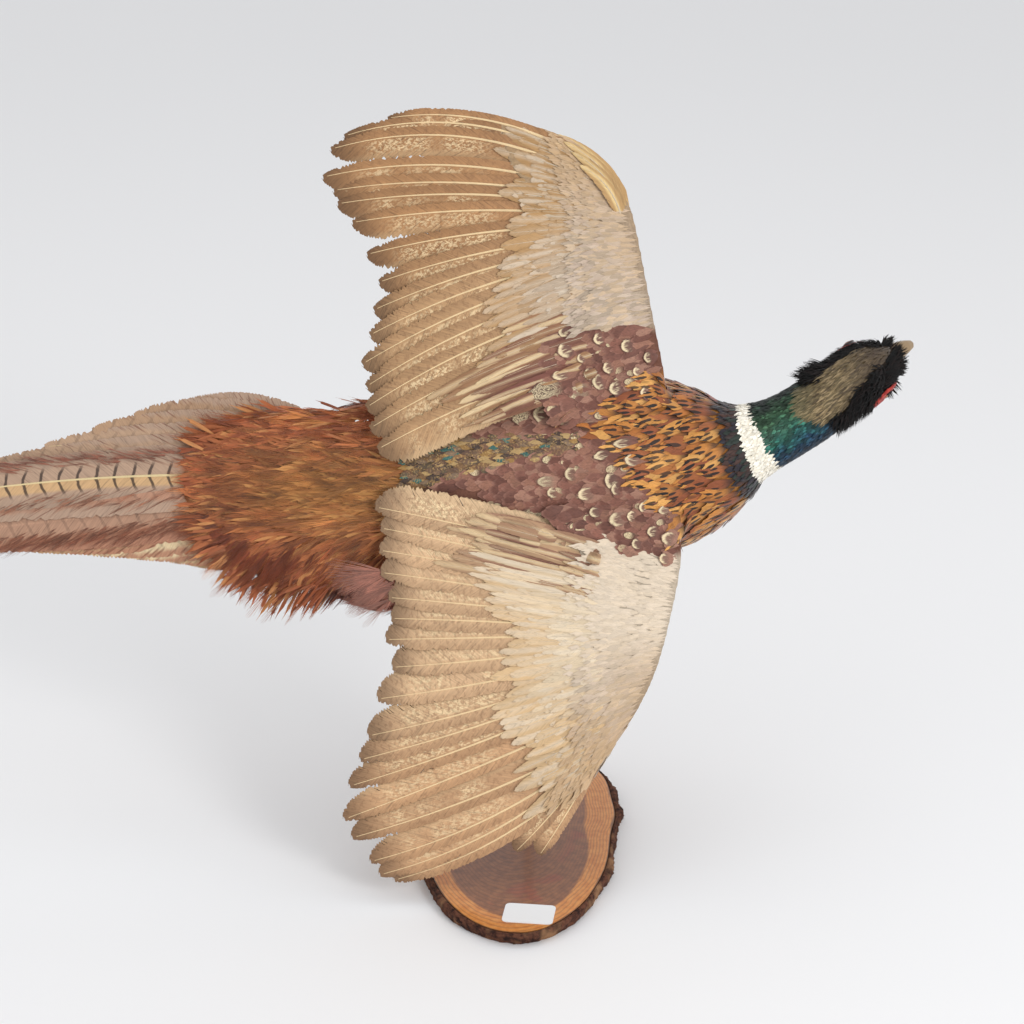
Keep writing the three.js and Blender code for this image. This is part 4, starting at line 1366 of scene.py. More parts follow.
def plumes(name, rng):
    """Plumes over a share of one zone's feathers."""
    length, half, height, yaw, share = PLUME_ZONES[name]
    here = np.flatnonzero((seed_zone == ZONE[name]) & (rng.random(len(seeds)) < share))
    points, up = seeds[here], seed_facing[here]
    reach = length * rng.uniform(0.7, 1.2, len(here))
    high = height * rng.uniform(0.5, 1.5, len(here))
    lie = lie_of(points, up, seed_zone[here])
    curve = curves(points, up, lie, reach, high, yaw, rng, cling=CLING_LOOSE)
    tint = tint_of(points, seed_zone[here], rng) * rng.uniform(0.6, 1.55, (len(here), 1))
    rows = np.repeat(np.array(HANGING[name], float), 4, 0)
    turn = np.radians(rows[:, 2]) + rng.normal(0, 0.14, len(rows))
    level = rows[:, :2] + rng.normal(0, 3, (len(rows), 2))
    free = np.column_stack([-np.cos(turn), -np.sin(turn), np.full(len(rows), HANGING_RISE[name])])
    start, _, _ = ground.nearest(np.column_stack([level, np.full(len(rows), -20)]))
    long = rows[:, 3] * rng.uniform(0.6, 1.0, len(rows))
    up_free = np.repeat([[0.0, 0.0, 1.0]], len(rows), 0)
    hang = curves(start, up_free, free, long, np.full(len(rows), -2.0), 0.1, rng, loose=True)
    curve = [np.concatenate(pair) for pair in zip(curve, hang)]
    loose_tint = paint(HANGING_TINTS[name]) * rng.uniform(0.6, 1.25, (len(rows), 1))
    tint = np.concatenate([tint, loose_tint])
    points = np.concatenate([points, start])
    reach = np.concatenate([reach, long])
    half = half * rng.uniform(0.8, 1.3, len(points)) * reach / length
    colours = tint, tint, rng.random((len(points), 3))
    flat = unwrapped(points, False)
    kind = rng.integers(0, len(PLUMES), len(points))
    coat = Coat()
    coat.grow(PLUMES, kind, curve, half, half / 4, 0.1, colours, flat, patch_size(flat))
    return coat


plume_finish = plumage("loose_plumes", rough=0.5, barbs=2.0, grain=6, contrast=1.4)
for name in PLUME_ZONES:
    plumes(name, default_rng(27)).build(f"plumes_{name}", plume_finish, "body_plumage")

# %% [markdown]
# ## Flight feathers
# The long blades of a wing overlap like slats: seen from above, each one's narrow front web lies
# over the broad rear web of the next one out. Tipping every blade a little about its shaft gives
# that order and keeps the blades apart. The pale shaft is a rod of its own on top.

# %% Blades and shafts
FLIGHT = [flight_pattern(6, 116, seed, 1.0, 0.42, 0.13, 0.8) for seed in (31, 32, 33, 34)]
QUILL_ROD = quill_pattern(18)
TILT = math.radians(4)


def laid(pattern, quill, half_width, thick, droop, tilt, lift=0.0):
    """A pattern bent along a quill's curve and tipped about its shaft."""
    u, v, w = pattern.corners.T
    rows, back = np.unique(v, return_inverse=True)
    place, side, up = (part[back] for part in quill.along(rows))
    slant = side * math.cos(tilt) + up * math.sin(tilt)
    over = up * math.cos(tilt) - side * math.sin(tilt)
    rise = w * thick - droop * u * u * half_width + lift
    return (place + slant * (u * half_width)[:, None] + over * rise[:, None])[None]


def for_wing(side, pattern):
    """The patterns are made for the left wing. The right one has them mirrored."""
    return pattern if side == "left" else pattern.mirrored()


def one(value):
    return np.array([value], float)


def add_blade(coat, pattern, quill, half_width, tilt, colours, cell, cells, rod=1.0):
    """Adds a blade and its shaft to a coat. Each has its own strip of the map."""
    tint, mark, trait = colours
    rows = 3 if cells > 30 else 1
    columns = math.ceil(cells / rows)
    middle = np.array([(cell // rows + 0.45) / columns, (cell % rows + 0.5) / rows])
    size = np.array([0.75 / columns, 0.94 / rows])
    made = laid(pattern, quill, half_width, 0.22, 0.05, tilt)
    coat.add(pattern, made, one(tint), one(mark), one(trait), one(middle), size)
    if not rod:
        return
    shaft = laid(QUILL_ROD, quill, rod, rod, 0, 0, 0.25)
    beside = middle + (0.47 / columns, 0)
    thin = size * (0.1, 1)
    coat.add(QUILL_ROD, shaft, one(tint), one(mark), one((*trait[:2], 1.0)), one(beside), thin)


def pale_shaft(finish, colour, pale):
    is_shaft = finish.channel(finish.attribute("trait"), 2)
    return finish.blend(is_shaft.step(0.5, 0.6), colour, pale)


def web_marks(finish, across, along, tint, mark, amount, seed):
    """Cream flecks over the broad web, a plain front web, painted shade along the sides where the blades
    overlap, and a darker end.
    """
    rear = across.step(0.04, 0.14) * (1 - across.step(0.5, 0.8))
    spots = finish.point(across * 9 + seed * 30, along * 58, seed * 50)
    flecks = finish.noise(spots, 1.0, 3.0, 0.75)
    patchy = finish.noise(finish.point(seed * 70, along * 7, 0.0), 1.0, 1.0).step(0.3, 0.5)
    middle = along.step(0.36, 0.5) * (1 - along.step(0.8, 0.92)) * patchy
    mottled = finish.blend(flecks.step(0.47, 0.54) * rear * middle * amount, tint, mark)
    bars = finish.noise(finish.point(across * 5 + seed * 20, along * 70, seed * 30), 1.0, 2.0, 0.7)
    barred = finish.blend(bars.step(0.53, 0.6) * amount * 0.4, mottled, "6E4A30")
    edged = finish.blend(across.step(0.5, 0.9) * 0.3, barred, mark)
    front = finish.blend((1 - across.step(-0.3, -0.02)) * 0.25, edged, "7A5636")
    # painted shade: the blade darkens along both sides, where the next blades overlap it; the darker end
    # is the feather's own colour
    rim = across.size().step(0.9, 1.0) * 0.45 + along.step(0.84, 1.0) * 0.7
    return pale_shaft(finish, finish.blend(rim, front, "4E3622"), "E2C79A")


# painted light: the right wing gets lighter tints than the left, one plumage given a lit and a shaded copy
WING_TINTS = {  # the hand's feathers, then the arm's
    "left": (paint("A27850"), paint("B48E66")),
    "right": (paint("B8906A"), paint("CCA882")),
}
HAND_HALF, ARM_HALF, OUTERMOST_HALF = 17, 22, 13
LEANS = {"left": -1, "right": 1}
flight_finish = plumage("flight_feathers", web_marks, rough=0.5, barbs=150.0, contrast=1.1, lean=0.13)
for side, plan in wings.items():
    rng = default_rng(40)
    coat = Coat()
    hand_tint, arm_tint = WING_TINTS[side]
    for k, quill in enumerate(plan):
        inboard = ramp(k, 7, 10)
        pattern = for_wing(side, FLIGHT[k % 4])
        half = HAND_HALF + (ARM_HALF - HAND_HALF) * inboard if k > 1 else OUTERMOST_HALF
        tint = (hand_tint * (1 - inboard) + arm_tint * inboard) * rng.uniform(0.8, 1.14)
        colours = tint, paint("DCC298"), (rng.uniform(0.6, 1.0), rng.random(), 0.0)
        add_blade(coat, pattern, quill, half, TILT * LEANS[side], colours, k, len(plan), 1.3)
    replaced = [f"wing_{side}_primaries", f"wing_{side}_secondaries"]
    coat.build(f"flight_{side}", flight_finish, "wing_plumage", *replaced)

# %% [markdown]
# ## Coverts over the quills
# Rows of shorter feathers hide the bases of the long ones. Each row starts further up the arm and
# ends nearer to it, and its feathers lie between the quills as well as on them.

# %% Rows of coverts
# where a row starts and ends as shares of the quills under it, its half width, lift, spacing and
# how tan it is
COVERT_ROWS = (
    (0.10, 0.47, 8, 0.5, 0.4, 0.95), (0.05, 0.40, 6, 0.9, 0.33, 0.7), (0.03, 0.32, 5, 1.2, 0.33, 0.25),
    (0.0, 0.25, 5, 1.5, 0.33, 0.0),
)
SHORT_BLADES = [flight_pattern(4, 30, seed, 1.0, 0.8, 0.26, 0.8, 0.5, 1.3) for seed in (51, 52, 53, 54)]
STREAKED_TO = {"left": 120, "right": 98}  # how far out the maroon streaked feathers reach
# painted light: the right wing's rows get lighter tints than the left's, one plumage given a lit and a
# shaded copy
ROW_TINTS = {"left": ("B09C86", "AC8658", "6E4238"), "right": ("D0BC9E", "C6A67C", "764A3E")}


def streak_marks(finish, across, along, tint, mark, amount, seed):
    """A pale streak along the shaft and a soft edge."""
    wander = wandering(finish, across * 2, along * 5, seed)
    streak = 1 - (across + wander * 0.5).size().step(0.12, 0.5)
    return pale_shaft(finish, finish.blend(streak * amount, tint, mark), "C6B69E")


covert_finish = plumage("covert_rows", streak_marks, barbs=40.0, contrast=0.7, lean=0.26)
for side, rows in (("left", QUILLS_LEFT), ("right", QUILLS_RIGHT)):
    rng = default_rng(60)
    coat = Coat()
    grey, tan, maroon = (paint(code) for code in ROW_TINTS[side])
    table = np.array([*rows, 2 * np.array(rows[-1]) - rows[-2]], float)
    first = 0.0 if side == "left" else 2.0
    places = [(row, at) for row in COVERT_ROWS for at in np.arange(first, len(rows), row[4])]
    for cell, (row, at) in enumerate(places):
        start, end, half, lift, _, plain = row
        tx, ty, ry, bow = (np.interp(at, range(len(table)), column) for column in table.T)
        root_at = max(start + rng.uniform(-0.06, 0.06), -0.02)
        tip_at = end + rng.uniform(-0.09, 0.05)
        ty += rng.normal(0, 5)
        on_hand = ramp(abs(ry), 150, 200)
        tip_at = tip_at * (1 - 0.3 * on_hand) + rng.uniform(-0.08, 0.08) * on_hand
        tip_at += rng.uniform(0.1, 0.3) * ramp(abs(ry), 128, 104) * (end > 0.3)
        share = root_at, tip_at
        quill = Quill(ground, (root_x(ry), ry), (tx, ty), bow, share, 1.0, lift, sunk=3.5)
        plain = max(ramp(abs(ry), 150, 185), plain)
        tint = grey * (1 - plain) + tan * plain * (1 - 0.1 * on_hand)
        mark, amount = paint("D8CCBA"), rng.uniform(0.0, 0.5)
        if abs(ry) < STREAKED_TO[side] + rng.normal(0, 8):
            streaky = rng.random()
            tint = maroon * (1 - streaky * 0.6) + tan * streaky * 0.6
            mark, amount = paint("D4BA90"), rng.uniform(0.0, 1.0)
            half *= rng.uniform(0.75, 1.1)
        pattern = for_wing(side, SHORT_BLADES[cell % 4])
        colours = (tint * rng.uniform(0.9, 1.1), mark, (amount, rng.random(), 0.0))
        tilt = TILT * 0.6 * LEANS[side] * rng.uniform(0.2, 1.6)
        half *= rng.uniform(0.9, 1.1)
        rod = 0.3 + 0.35 * on_hand
        add_blade(coat, pattern, quill, half, tilt, colours, cell, len(places), rod)
    coat.build(f"coverts_{side}", covert_finish, "wing_plumage")

# %% The thumb feathers of the left wing
# tip x and y, root x and y and bow
ALULA = ((31, 250, 86, 190, 9), (36, 244, 84, 188, 8), (42, 236, 82, 186, 7), (48, 226, 80, 184, 6))
rng = default_rng(66)
coat = Coat()
for cell, (tx, ty, rx, ry, bow) in enumerate(ALULA):
    quill = Quill(ground, (rx, ry), (tx, ty), bow, layer=1.0, lift=3.0 + 0.5 * cell, sunk=4.0)
    tint = paint("A98658") * rng.uniform(0.92, 1.1)
    colours = (tint, paint("E2C890"), (rng.uniform(0.2, 0.8), rng.random(), 0.0))
    add_blade(coat, SHORT_BLADES[cell], quill, 6, -TILT, colours, cell, len(ALULA), 0.7)
coat.build("thumb_feathers", covert_finish, "wing_plumage")

# %% [markdown]
# ## The tail
# Eighteen feathers in nine pairs, the middle pair longest and uppermost. The uppermost has a buff
# band with dark bars beside its shaft. The others are plainer, with a pinkish fringe.

# %% Tail feathers
TAIL_BASE, TAIL_TIP = np.array([-150.0, -13.0]), np.array([-590.0, -57.0])
PAIRS, SHORTEST, LONGEST = 9, 118.0, 440
BAR_SPACING, BAR_SCALE = 14.0, 600.0  # a feather's length in bar scales rides in its first trait
TAIL_BLADES = [flight_pattern(8, 120, seed, 1.0, 1.0, 0.05, 0.8, 0.42, 1.4) for seed in (71, 72)]
TAIL_SIDES = {1: (9.0, 0.0), -1: (5.2, 26.0)}  # spread of each next feather, and how much shorter
TAIL_TINTS = {
    1: ("A68A74", "A87E66", "A88068", "A88A70", "AA8C72", "AA8C72", "A48468", "A08064", "9C7C60"),
    -1: ("A8826A", "A8826A", "A8806A", "A27A60", "B08C68", "CEB892", "D2BC96", "BCA27C", "AC9068"),
}


def tail_marks(finish, across, along, tint, mark, amount, seed):
    """Dark bars at even steps over a band beside the shaft, and a fringe of the second colour."""
    wander = wandering(finish, across * 2, along * 30, seed)
    travelled = along * amount.math("FRACT") * (BAR_SCALE / BAR_SPACING)
    wave = travelled + across.size() * 0.55 + wander * 0.35
    stripe = 1 - (wave.math("FRACT") - 0.5).size().step(0.05, 0.12)
    fringe = (across + wander * 0.4).size().step(0.42, 0.66)
    central = (amount - 1).step(0.0, 0.01)
    band = across.step(0.0, 0.03) * (1 - across.step(0.3, 0.44)) * central
    combed = finish.point((along - across.size() * 0.12) * 90, across * 1.2, seed * 8)
    hairs = finish.noise(combed, 1.0, 2.0)
    strands = hairs.step(0.54, 0.64) * across.size().step(0.25, 0.6)
    web = finish.blend(band, finish.blend(fringe * 0.9, tint, mark), "BE9A70")
    colour = finish.blend(strands * 0.65, web, "6A3C28")
    strong = central * 0.6 + 0.25
    bars = stripe * (1 - across.size().step(0.3, 0.62)) * strong
    return pale_shaft(finish, finish.blend(bars, colour, "2A1C18"), "D8C494")


tail_finish = plumage("tail_feathers", tail_marks, rough=0.5, barbs=300.0, contrast=0.9, lean=0.05)
tail_top = Surface([nodes["tail"].data])
rng = default_rng(80)
coat = Coat()
ahead = unit(TAIL_TIP - TAIL_BASE)
aside = np.array([ahead[1], -ahead[0]])
tail_quills = []
for pair in range(PAIRS):
    for side, (spread, shorter) in TAIL_SIDES.items():
        rank = (1 - pair / (PAIRS - 1)) ** 1.25
        length = SHORTEST + (LONGEST - shorter - SHORTEST) * rank
        root = TAIL_BASE + aside * side * (3 + 0.4 * spread * pair)
        tip = TAIL_BASE + ahead * length + aside * side * min(4 + spread * pair, 66)
        uppermost = pair == 0 and side > 0
        bow = 18 if uppermost else 1.5 * pair
        lift = 0.8 - 0.5 * pair + (0.3 if side > 0 else -1.2) + 2.2 * (pair == 0) * side
        quill = Quill(tail_top, root, tip, bow, layer=1.0, lift=lift, outward=side)
        tint = paint(TAIL_TINTS[side][pair]) * rng.uniform(0.95, 1.05)
        fringe = paint("A8765C" if side < 0 else "A48A76") * rng.uniform(0.92, 1.05)
        colours = (tint, fringe, (length / BAR_SCALE + uppermost, rng.random(), 0.0))
        half = 21 if pair < 3 else 17
        rod = 1.2 if uppermost else 0.8 if pair == 5 and side > 0 else 0
        cell = len(tail_quills)
        add_blade(coat, TAIL_BLADES[pair % 2], quill, half, 0.0, colours, cell, 2 * PAIRS, rod)
        tail_quills.append(quill)
coat.build("tail_feathers", tail_finish, "tail_plumage", "tail")

# %% Loose barbs along the middle feathers' edges
# which quill, how far across it the barbs start in mm, their direction in degrees, colour and number
FRINGES = (
    (0, -15, -12, "905C48", 150), (0, 16, 20, "94644C", 70), (1, 14, 24, "8C5C46", 80),
    (1, 20, 22, "84503A", 150), (3, 12, 16, "8E5C44", 60),
)
WISPS = [plume_pattern(3, seed, 0.9, 0.16) for seed in (85, 86, 87)]
rng = default_rng(84)
coat = Coat()
for row, (pick, offset, heading, code, number) in enumerate(FRINGES):
    t = np.linspace(0.16, 0.86, number) + rng.normal(0, 0.006, number)
    place, side, up = tail_quills[pick].along(np.sort(t))
    root = place + side * (offset + rng.normal(0, 2.4, number))[:, None] + up * 0.5
    turn = np.radians(heading) + rng.normal(0, 0.12, number)
    way = unit(np.gradient(place, axis=0)) * np.cos(turn)[:, None] + side * np.sin(turn)[:, None]
    tip = root + way * rng.uniform(12, 26, (number, 1)) + up * rng.uniform(0.2, 2.0, (number, 1))
    curve = root, (root + tip) / 2 + up * 0.8, tip, up, up
    tone = paint(code) * rng.uniform(0.6, 1.5, (number, 1))
    flat = np.column_stack([np.full(number, (row + 0.5) / len(FRINGES)), t])
    colours = tone, tone, rng.random((number, 3))
    half = rng.uniform(1.2, 2.2, number)
    kind = rng.integers(0, len(WISPS), number)
    coat.grow(WISPS, kind, curve, half, half / 5, 0.1, colours, flat, 0.01)
coat.build("tail_fringes", plume_finish, "tail_plumage")

# %% [markdown]
# ## Bill, eyes and wattles
# The bare parts get the same melting as the body, only finer, so that the solids' flat facets go.
# Their colours change over a few millimetres, so their patterns read the place itself.

# %% Bill
def placed(finish, place, scale):
    """How far the shaded place is from a place in the bird's frame, in units of scale millimetres."""
    middle = tuple(float(v) for v in to_room(place))
    ends = {"Vector": finish.here(), "Vector_001": middle}
    return finish.node("VectorMath", {"operation": "DISTANCE"}, ends, "Value") * (1 / (scale * MM))


def bare(name, node, voxel, swell, rounds, slot, finish):
    """A bare part: one solid melted smooth, with its sizes in mm."""
    mesh = melted([node], voxel * MM, swell * MM, rounds)
    mesh.shade_smooth()
    finished(mesh, name, finish.material, slot, node)


BILL_ROOT, NOSTRILS = (283, 82, -23), ((289.5, 80.6, -21.5), (286.6, 90.2, -21.8))
horn = Finish("bill_horn", Roughness=0.38, Specular_IOR_Level=0.5, Coat_Weight=0.15)
grain = horn.noise(horn.here(), 900.0, 3.0, 0.6)
from_root = placed(horn, BILL_ROOT, 22)
shade = horn.blend(from_root.step(0.1, 0.9), "7A5C46", "8E7656")
# painted shade: the nostrils are dark spots on the horn, where the openings lie in shade
for nostril in NOSTRILS:
    shade = horn.blend((1 - placed(horn, nostril, 1.7).step(0.5, 1.0)) * 0.85, shade, "2A1C16")
horn.feed("Base Color", horn.shade(shade, grain * 0.5 + 0.75))
horn.bump(grain, 0.25, 0.3 * MM)
bare("bill_above", "bill_upper", 0.42, 0.5, 4, "horn", horn)
bare("bill_below", "bill_lower", 0.42, 0.3, 4, "horn", horn)

# %% Wattles
wattle = Finish("wattle_skin", Roughness=0.5, Specular_IOR_Level=0.4, Subsurface_Weight=0.1)
wattle.shader.inputs["Subsurface Scale"].default_value = 1.5 * MM
warts = wattle.node("TexVoronoi", {}, {"Vector": wattle.here(), "Scale": 1100.0}, "Distance")
patches = wattle.noise(wattle.here(), 260.0, 2.0)
wattle.feed("Base Color", wattle.blend(patches.step(0.35, 0.65), "8E1C18", "B8382A"))
wattle.bump(warts, 0.9, 0.5 * MM)
for side, swell in (("left", -1.4), ("right", 0.1)):
    bare(f"wattle_skin_{side}", f"wattle_{side}", 0.45, swell, 3, "bare_skin", wattle)

# %% Eyes and lids
EYE_RADIUS, LID_RADIUS, LID_THICK, LID_OUT = 6.2, 5.0, 1.0, 3.6
glass = Finish("eye_glass", Roughness=0.08, Coat_Weight=1.0, Coat_Roughness=0.03)
turned = glass.channel(glass.attribute("mark"), 0)
rays = glass.noise(glass.here(), 1400.0, 3.0, 0.7)
iris = glass.blend(turned.step(0.80, 0.97), "5A2A0C", "C8761C")
iris = glass.shade(iris, rays * 0.7 + 0.6)
seen = glass.blend(turned.step(0.935, 0.945), iris, "050506")
glass.feed("Base Color", glass.blend(1 - turned.step(0.72, 0.78), seen, "120C0A"))
lid_finish = Finish("eyelid_skin", Base_Color=paint4("3A2626"), Roughness=0.55)
lid_finish.bump(lid_finish.noise(lid_finish.here(), 1500.0, 2.0), 0.6, 0.3 * MM)
outward = unit(eye_middles[0] - eye_middles[1])
for sign, side, middle in ((1, "left", eye_middles[0]), (-1, "right", eye_middles[1])):
    axis = Vector((outward * sign) @ ROLL.T)
    turn = axis.to_track_quat("Z", "Y").to_matrix().to_4x4()
    place = Matrix.Translation(to_room(middle)) @ turn @ Matrix.Scale(MM, 4)
    ball = bmesh.new()
    bmesh.ops.create_uvsphere(ball, u_segments=48, v_segments=28, radius=EYE_RADIUS)
    facing_out = [v.co.z / EYE_RADIUS for v in ball.verts]
    bmesh.ops.transform(ball, matrix=place, verts=ball.verts)
    eye_mesh = mesh_of(ball, f"eye_{side}")
    coloured(eye_mesh, "mark", np.repeat(np.array(facing_out)[:, None], 3, 1))
    eye_mesh.shade_smooth()
    finished(eye_mesh, f"eyeball_{side}", glass.material, "eye_glass", f"eye_{side}")
    lid = bmesh.new()
    hoop = bmesh.ops.create_circle(lid, segments=12, radius=LID_THICK)["verts"]
    bmesh.ops.rotate(lid, verts=hoop, matrix=Matrix.Rotation(math.pi / 2, 3, "X"))
    bmesh.ops.translate(lid, verts=hoop, vec=(LID_RADIUS, 0, LID_OUT))
    spun = {"cent": (0, 0, 0), "axis": (0, 0, 1), "angle": math.tau, "steps": 48, "use_merge": True}
    bmesh.ops.spin(lid, geom=lid.verts[:] + lid.edges[:], **spun)
    bmesh.ops.remove_doubles(lid, verts=lid.verts, dist=1e-4)
    bmesh.ops.scale(lid, verts=lid.verts, vec=(1.06, 0.9, 1))
    bmesh.ops.transform(lid, matrix=place, verts=lid.verts)
    bmesh.ops.recalc_face_normals(lid, faces=lid.faces)
    lid_mesh = mesh_of(lid, f"lid_{side}")
    lid_mesh.shade_smooth()
    finished(lid_mesh, f"eyelid_{side}", lid_finish.material, "bare_skin")

# %% [markdown]
# ## Feet
# The grey legs and toes carry small scales. The claws are horn: tapering rods that curve down.

# %% Scales and claws
scales = Finish("leg_scales", Roughness=0.55, Specular_IOR_Level=0.4)
cells = scales.node("TexVoronoi", {}, {"Vector": scales.here(), "Scale": 420.0}, "Distance")
tone = scales.blend(scales.noise(scales.here(), 90.0, 2.0), "7C7468", "A09684")
scales.feed("Base Color", scales.shade(tone, cells * -0.5 + 1.1))
scales.bump(cells * -1, 0.8, 0.5 * MM)
ANKLE, CLAW_LENGTH = (-160, 28, -98), 9
TOES = ((50, 2, 3), (40, 15, 2), (38, -13, 2), (20, 1, -16))  # length, spread and lift
TOE_SHARE, TOES_BELOW = 0.96, 13  # how far out a claw starts, and how far below the ankle
claws = Coat()
for side, sign in (("left", 1), ("right", -1)):
    bare(f"foot_{side}", f"leg_{side}_foot", 0.8, 0.0, 2, "leg_scale", scales)
    length, spread, lift = np.array(TOES, float).T
    reach, aside = length * TOE_SHARE, ANKLE[1] + spread * TOE_SHARE
    ends = np.column_stack([ANKLE[0] - reach, sign * aside, ANKLE[2] + lift - TOES_BELOW])
    up = np.repeat([[-0.7, 0, 0.7]], len(ends), 0)
    tip = ends + (-3.5, 0, -CLAW_LENGTH * 0.7)
    curve = ends + (3.0, 0, 2.0), ends + (-2.5, 0, 0), tip, up, up
    tone = np.repeat([paint("3A302A")], len(ends), 0)
    cell = np.column_stack([(np.arange(4) + 0.5) / 4, np.full(4, 0.25 if sign > 0 else 0.75)])
    thick = np.full(len(ends), 1.5)
    claws.grow([QUILL_ROD], np.zeros(4), curve, thick, thick, 0, (tone, tone, tone), cell, 0.2)
claw_finish = Finish("claw_horn", Roughness=0.4)
claw_finish.feed("Base Color", claw_finish.attribute("tint"))
claws.build("claws", claw_finish.material, "leg_scale")

# %% [markdown]
# ## The slice of log
# The slice is built afresh from its outline, so that every place knows how far it is from the
# middle and from the edge. The growth rings, the pale sapwood and the dark rim follow from those.

# %% Wood
SLICE_HALF, SLICE_FRONT, SLICE_BACK = 78, 198, 120  # from its middle to the side, front and back
SLICE_WIDEST, SLICE_THICK, SLICE_LEAN = 45, 11, 6  # its middle lies at y = SLICE_WIDEST
AROUND = 240
SAPWOOD = 24
RIM_SCALE = 100  # the second mark is the way to the rim in this many mm


def wood_edge(angle):
    """How far the bare wood reaches from its middle in a direction."""
    dx, dy = np.cos(angle), np.sin(angle)
    end = np.where(dy > 0, SLICE_BACK, SLICE_FRONT)
    blunt = np.where(dy > 0, 2.8, 2.0)
    size = (np.abs(dx) / SLICE_HALF) ** blunt + (np.abs(dy) / end) ** blunt
    return size ** (-1 / blunt) + 1.4 * np.sin(3 * angle + 0.6) + 0.9 * np.sin(7 * angle + 2)


def from_slice(angle, radius, z):
    """Places round the slice, whose sides lean a little."""
    y = np.sin(angle) * radius + SLICE_WIDEST + SLICE_LEAN * (1 - z / SLICE_THICK)
    return np.stack([np.cos(angle) * radius, y, z], axis=-1) * MM


def wrapped(rings, steps, name):
    """A closed mesh from rings of places. Each joins the next, and an end may shrink to a point."""
    shape = bmesh.new()
    bmesh.ops.create_grid(shape, x_segments=len(rings) - 1, y_segments=steps, size=1)
    for vert in shape.verts:
        ring = round((vert.co.x + 1) / 2 * (len(rings) - 1))
        step = round((vert.co.y + 1) / 2 * steps) % steps
        vert.co = rings[ring][step]
    bmesh.ops.remove_doubles(shape, verts=shape.verts, dist=1e-7)
    bmesh.ops.recalc_face_normals(shape, faces=shape.faces)
    return mesh_of(shape, name)


angle = np.arange(AROUND) / AROUND * math.tau
edge = wood_edge(angle)
level = np.full(AROUND, float(SLICE_THICK))
rings = [from_slice(angle, edge * share, level) for share in np.linspace(0, 0.99, 14)]
rings.append(from_slice(angle, edge - 0.25, level - 0.3))
rings += [from_slice(angle, edge, level * share) for share in (0.88, 0.5, 0.1)]
rings += [from_slice(angle, edge * share, level * 0) for share in (0.99, 0.5, 0.0)]
wood_mesh = wrapped(rings, AROUND, "wood")
at = rows_of(wood_mesh.vertices, "co") / MM
around = np.arctan2(at[:, 1] - SLICE_WIDEST, at[:, 0])
reach = np.hypot(at[:, 1] - SLICE_WIDEST, at[:, 0])
edge = wood_edge(around)
mark = np.column_stack([reach / edge, (edge - reach) / RIM_SCALE, around / math.tau + 0.5])
coloured(wood_mesh, "mark", mark)

# %% Varnished wood
wood = Finish("varnished_wood", Roughness=0.42, Coat_Weight=0.25, Coat_Roughness=0.14)
held = wood.attribute("mark")
share, rim = wood.channel(held, 0), wood.channel(held, 1)
wobble = wood.noise(wood.here(), 26.0, 3.0) - 0.5
fine = wood.noise(wood.here(), 160.0, 4.0, 0.7)
year = (share * 34 + wobble * 2.4).math("FRACT")
ring_line = (year - 0.5).size().step(0.2, 0.5)
heart = wood.blend(fine.step(0.3, 0.7), "70401F", "8E5830")
red_streaks = wood.noise(wood.here(), 38.0, 2.0).step(0.58, 0.68) * share.step(0.5, 0.7)
heart = wood.blend(red_streaks * 0.5, heart, "8A3822")
sap = wood.blend(fine.step(0.3, 0.7), "BC7028", "D08C44")
border = rim * RIM_SCALE + wobble * 5
timber = wood.blend(1 - border.step(SAPWOOD - 3, SAPWOOD + 1), heart, sap)
timber = wood.blend(ring_line * 0.4, timber, "5C3420")
timber = wood.blend((1 - border.step(0.5, 2.0)) * 0.8, timber, "3E2418")
wood.feed("Base Color", timber)
wood.bump(ring_line * -0.5 + fine * 0.3, 0.25, 0.3 * MM)
wood_mesh.shade_smooth()
wood_mesh.set_sharp_from_angle(angle=math.radians(50))
finished(wood_mesh, "log_slice", wood.material, "varnished_wood", "stand_slice")

# %% Bark
BARK_THICK, BARK_ROUGH, BARK_GAP, FLARE = 5.4, 2.6, 0.3, 3.5
BARK_AROUND = 480
PROFILE = (  # outwards and upwards, from -1 to 1, round the bark's section
    (-1, -0.9), (-1, -0.3), (-1, 0.3), (-1, 0.93), (-0.6, 1.0), (-0.1, 1.0), (0.4, 0.96), (0.8, 0.86),
    (1, 0.6), (1, 0.3), (1, 0.0), (1, -0.3), (1, -0.6), (0.9, -0.9), (0.4, -1), (-0.5, -1),
)
angle = np.arange(BARK_AROUND) / BARK_AROUND * math.tau
lump = np.sin(5 * angle) + 0.8 * np.sin(13 * angle + 1) + 0.6 * np.sin(19 * angle)
rings = []
for out, rise in (*PROFILE, PROFILE[0]):
    drop = (1.6 if out > 0 else 0.3) * max(rise, 0)
    z = np.full(BARK_AROUND, (0.5 + rise * 0.5) * (SLICE_THICK - drop))
    flare = FLARE * np.maximum(0, -np.cos(angle)) * (1 - rise) * 0.5 * (out > 0)
    shell = BARK_GAP + (0.5 + out * 0.5) * (BARK_THICK + BARK_ROUGH * lump * 0.5) + flare
    flat = from_slice(angle, wood_edge(angle) + shell, z)
    spots = [Vector(p) / MM for p in flat]
    crag = np.array([noise.noise(p * 0.32) + 0.6 * noise.noise(p * 0.9) for p in spots])
    away = max(out + 0.3, 0) * 1.5
    z -= max(rise, 0) * 0.9 * np.maximum(crag, 0) * (out > -0.9)
    rings.append(from_slice(angle, wood_edge(angle) + shell + (crag - 0.3) * away, z))
bark_mesh = wrapped(rings, BARK_AROUND, "bark")
bark_mesh.shade_smooth()
bark = Finish("rough_bark", Roughness=0.9, Specular_IOR_Level=0.15)
crust = bark.noise(bark.here(), 190.0, 5.0, 0.7)
lichen = bark.noise(bark.here(), 30.0, 3.0)
rust = bark.blend(crust.step(0.35, 0.65), "2A1A18", "6A4434")
bark.feed("Base Color", bark.blend(lichen.step(0.48, 0.62) * 0.85, rust, "9A7454"))
bark.bump(crust, 1.0, 1.5 * MM)
finished(bark_mesh, "bark_ring", bark.material, "bark", "stand_bark")

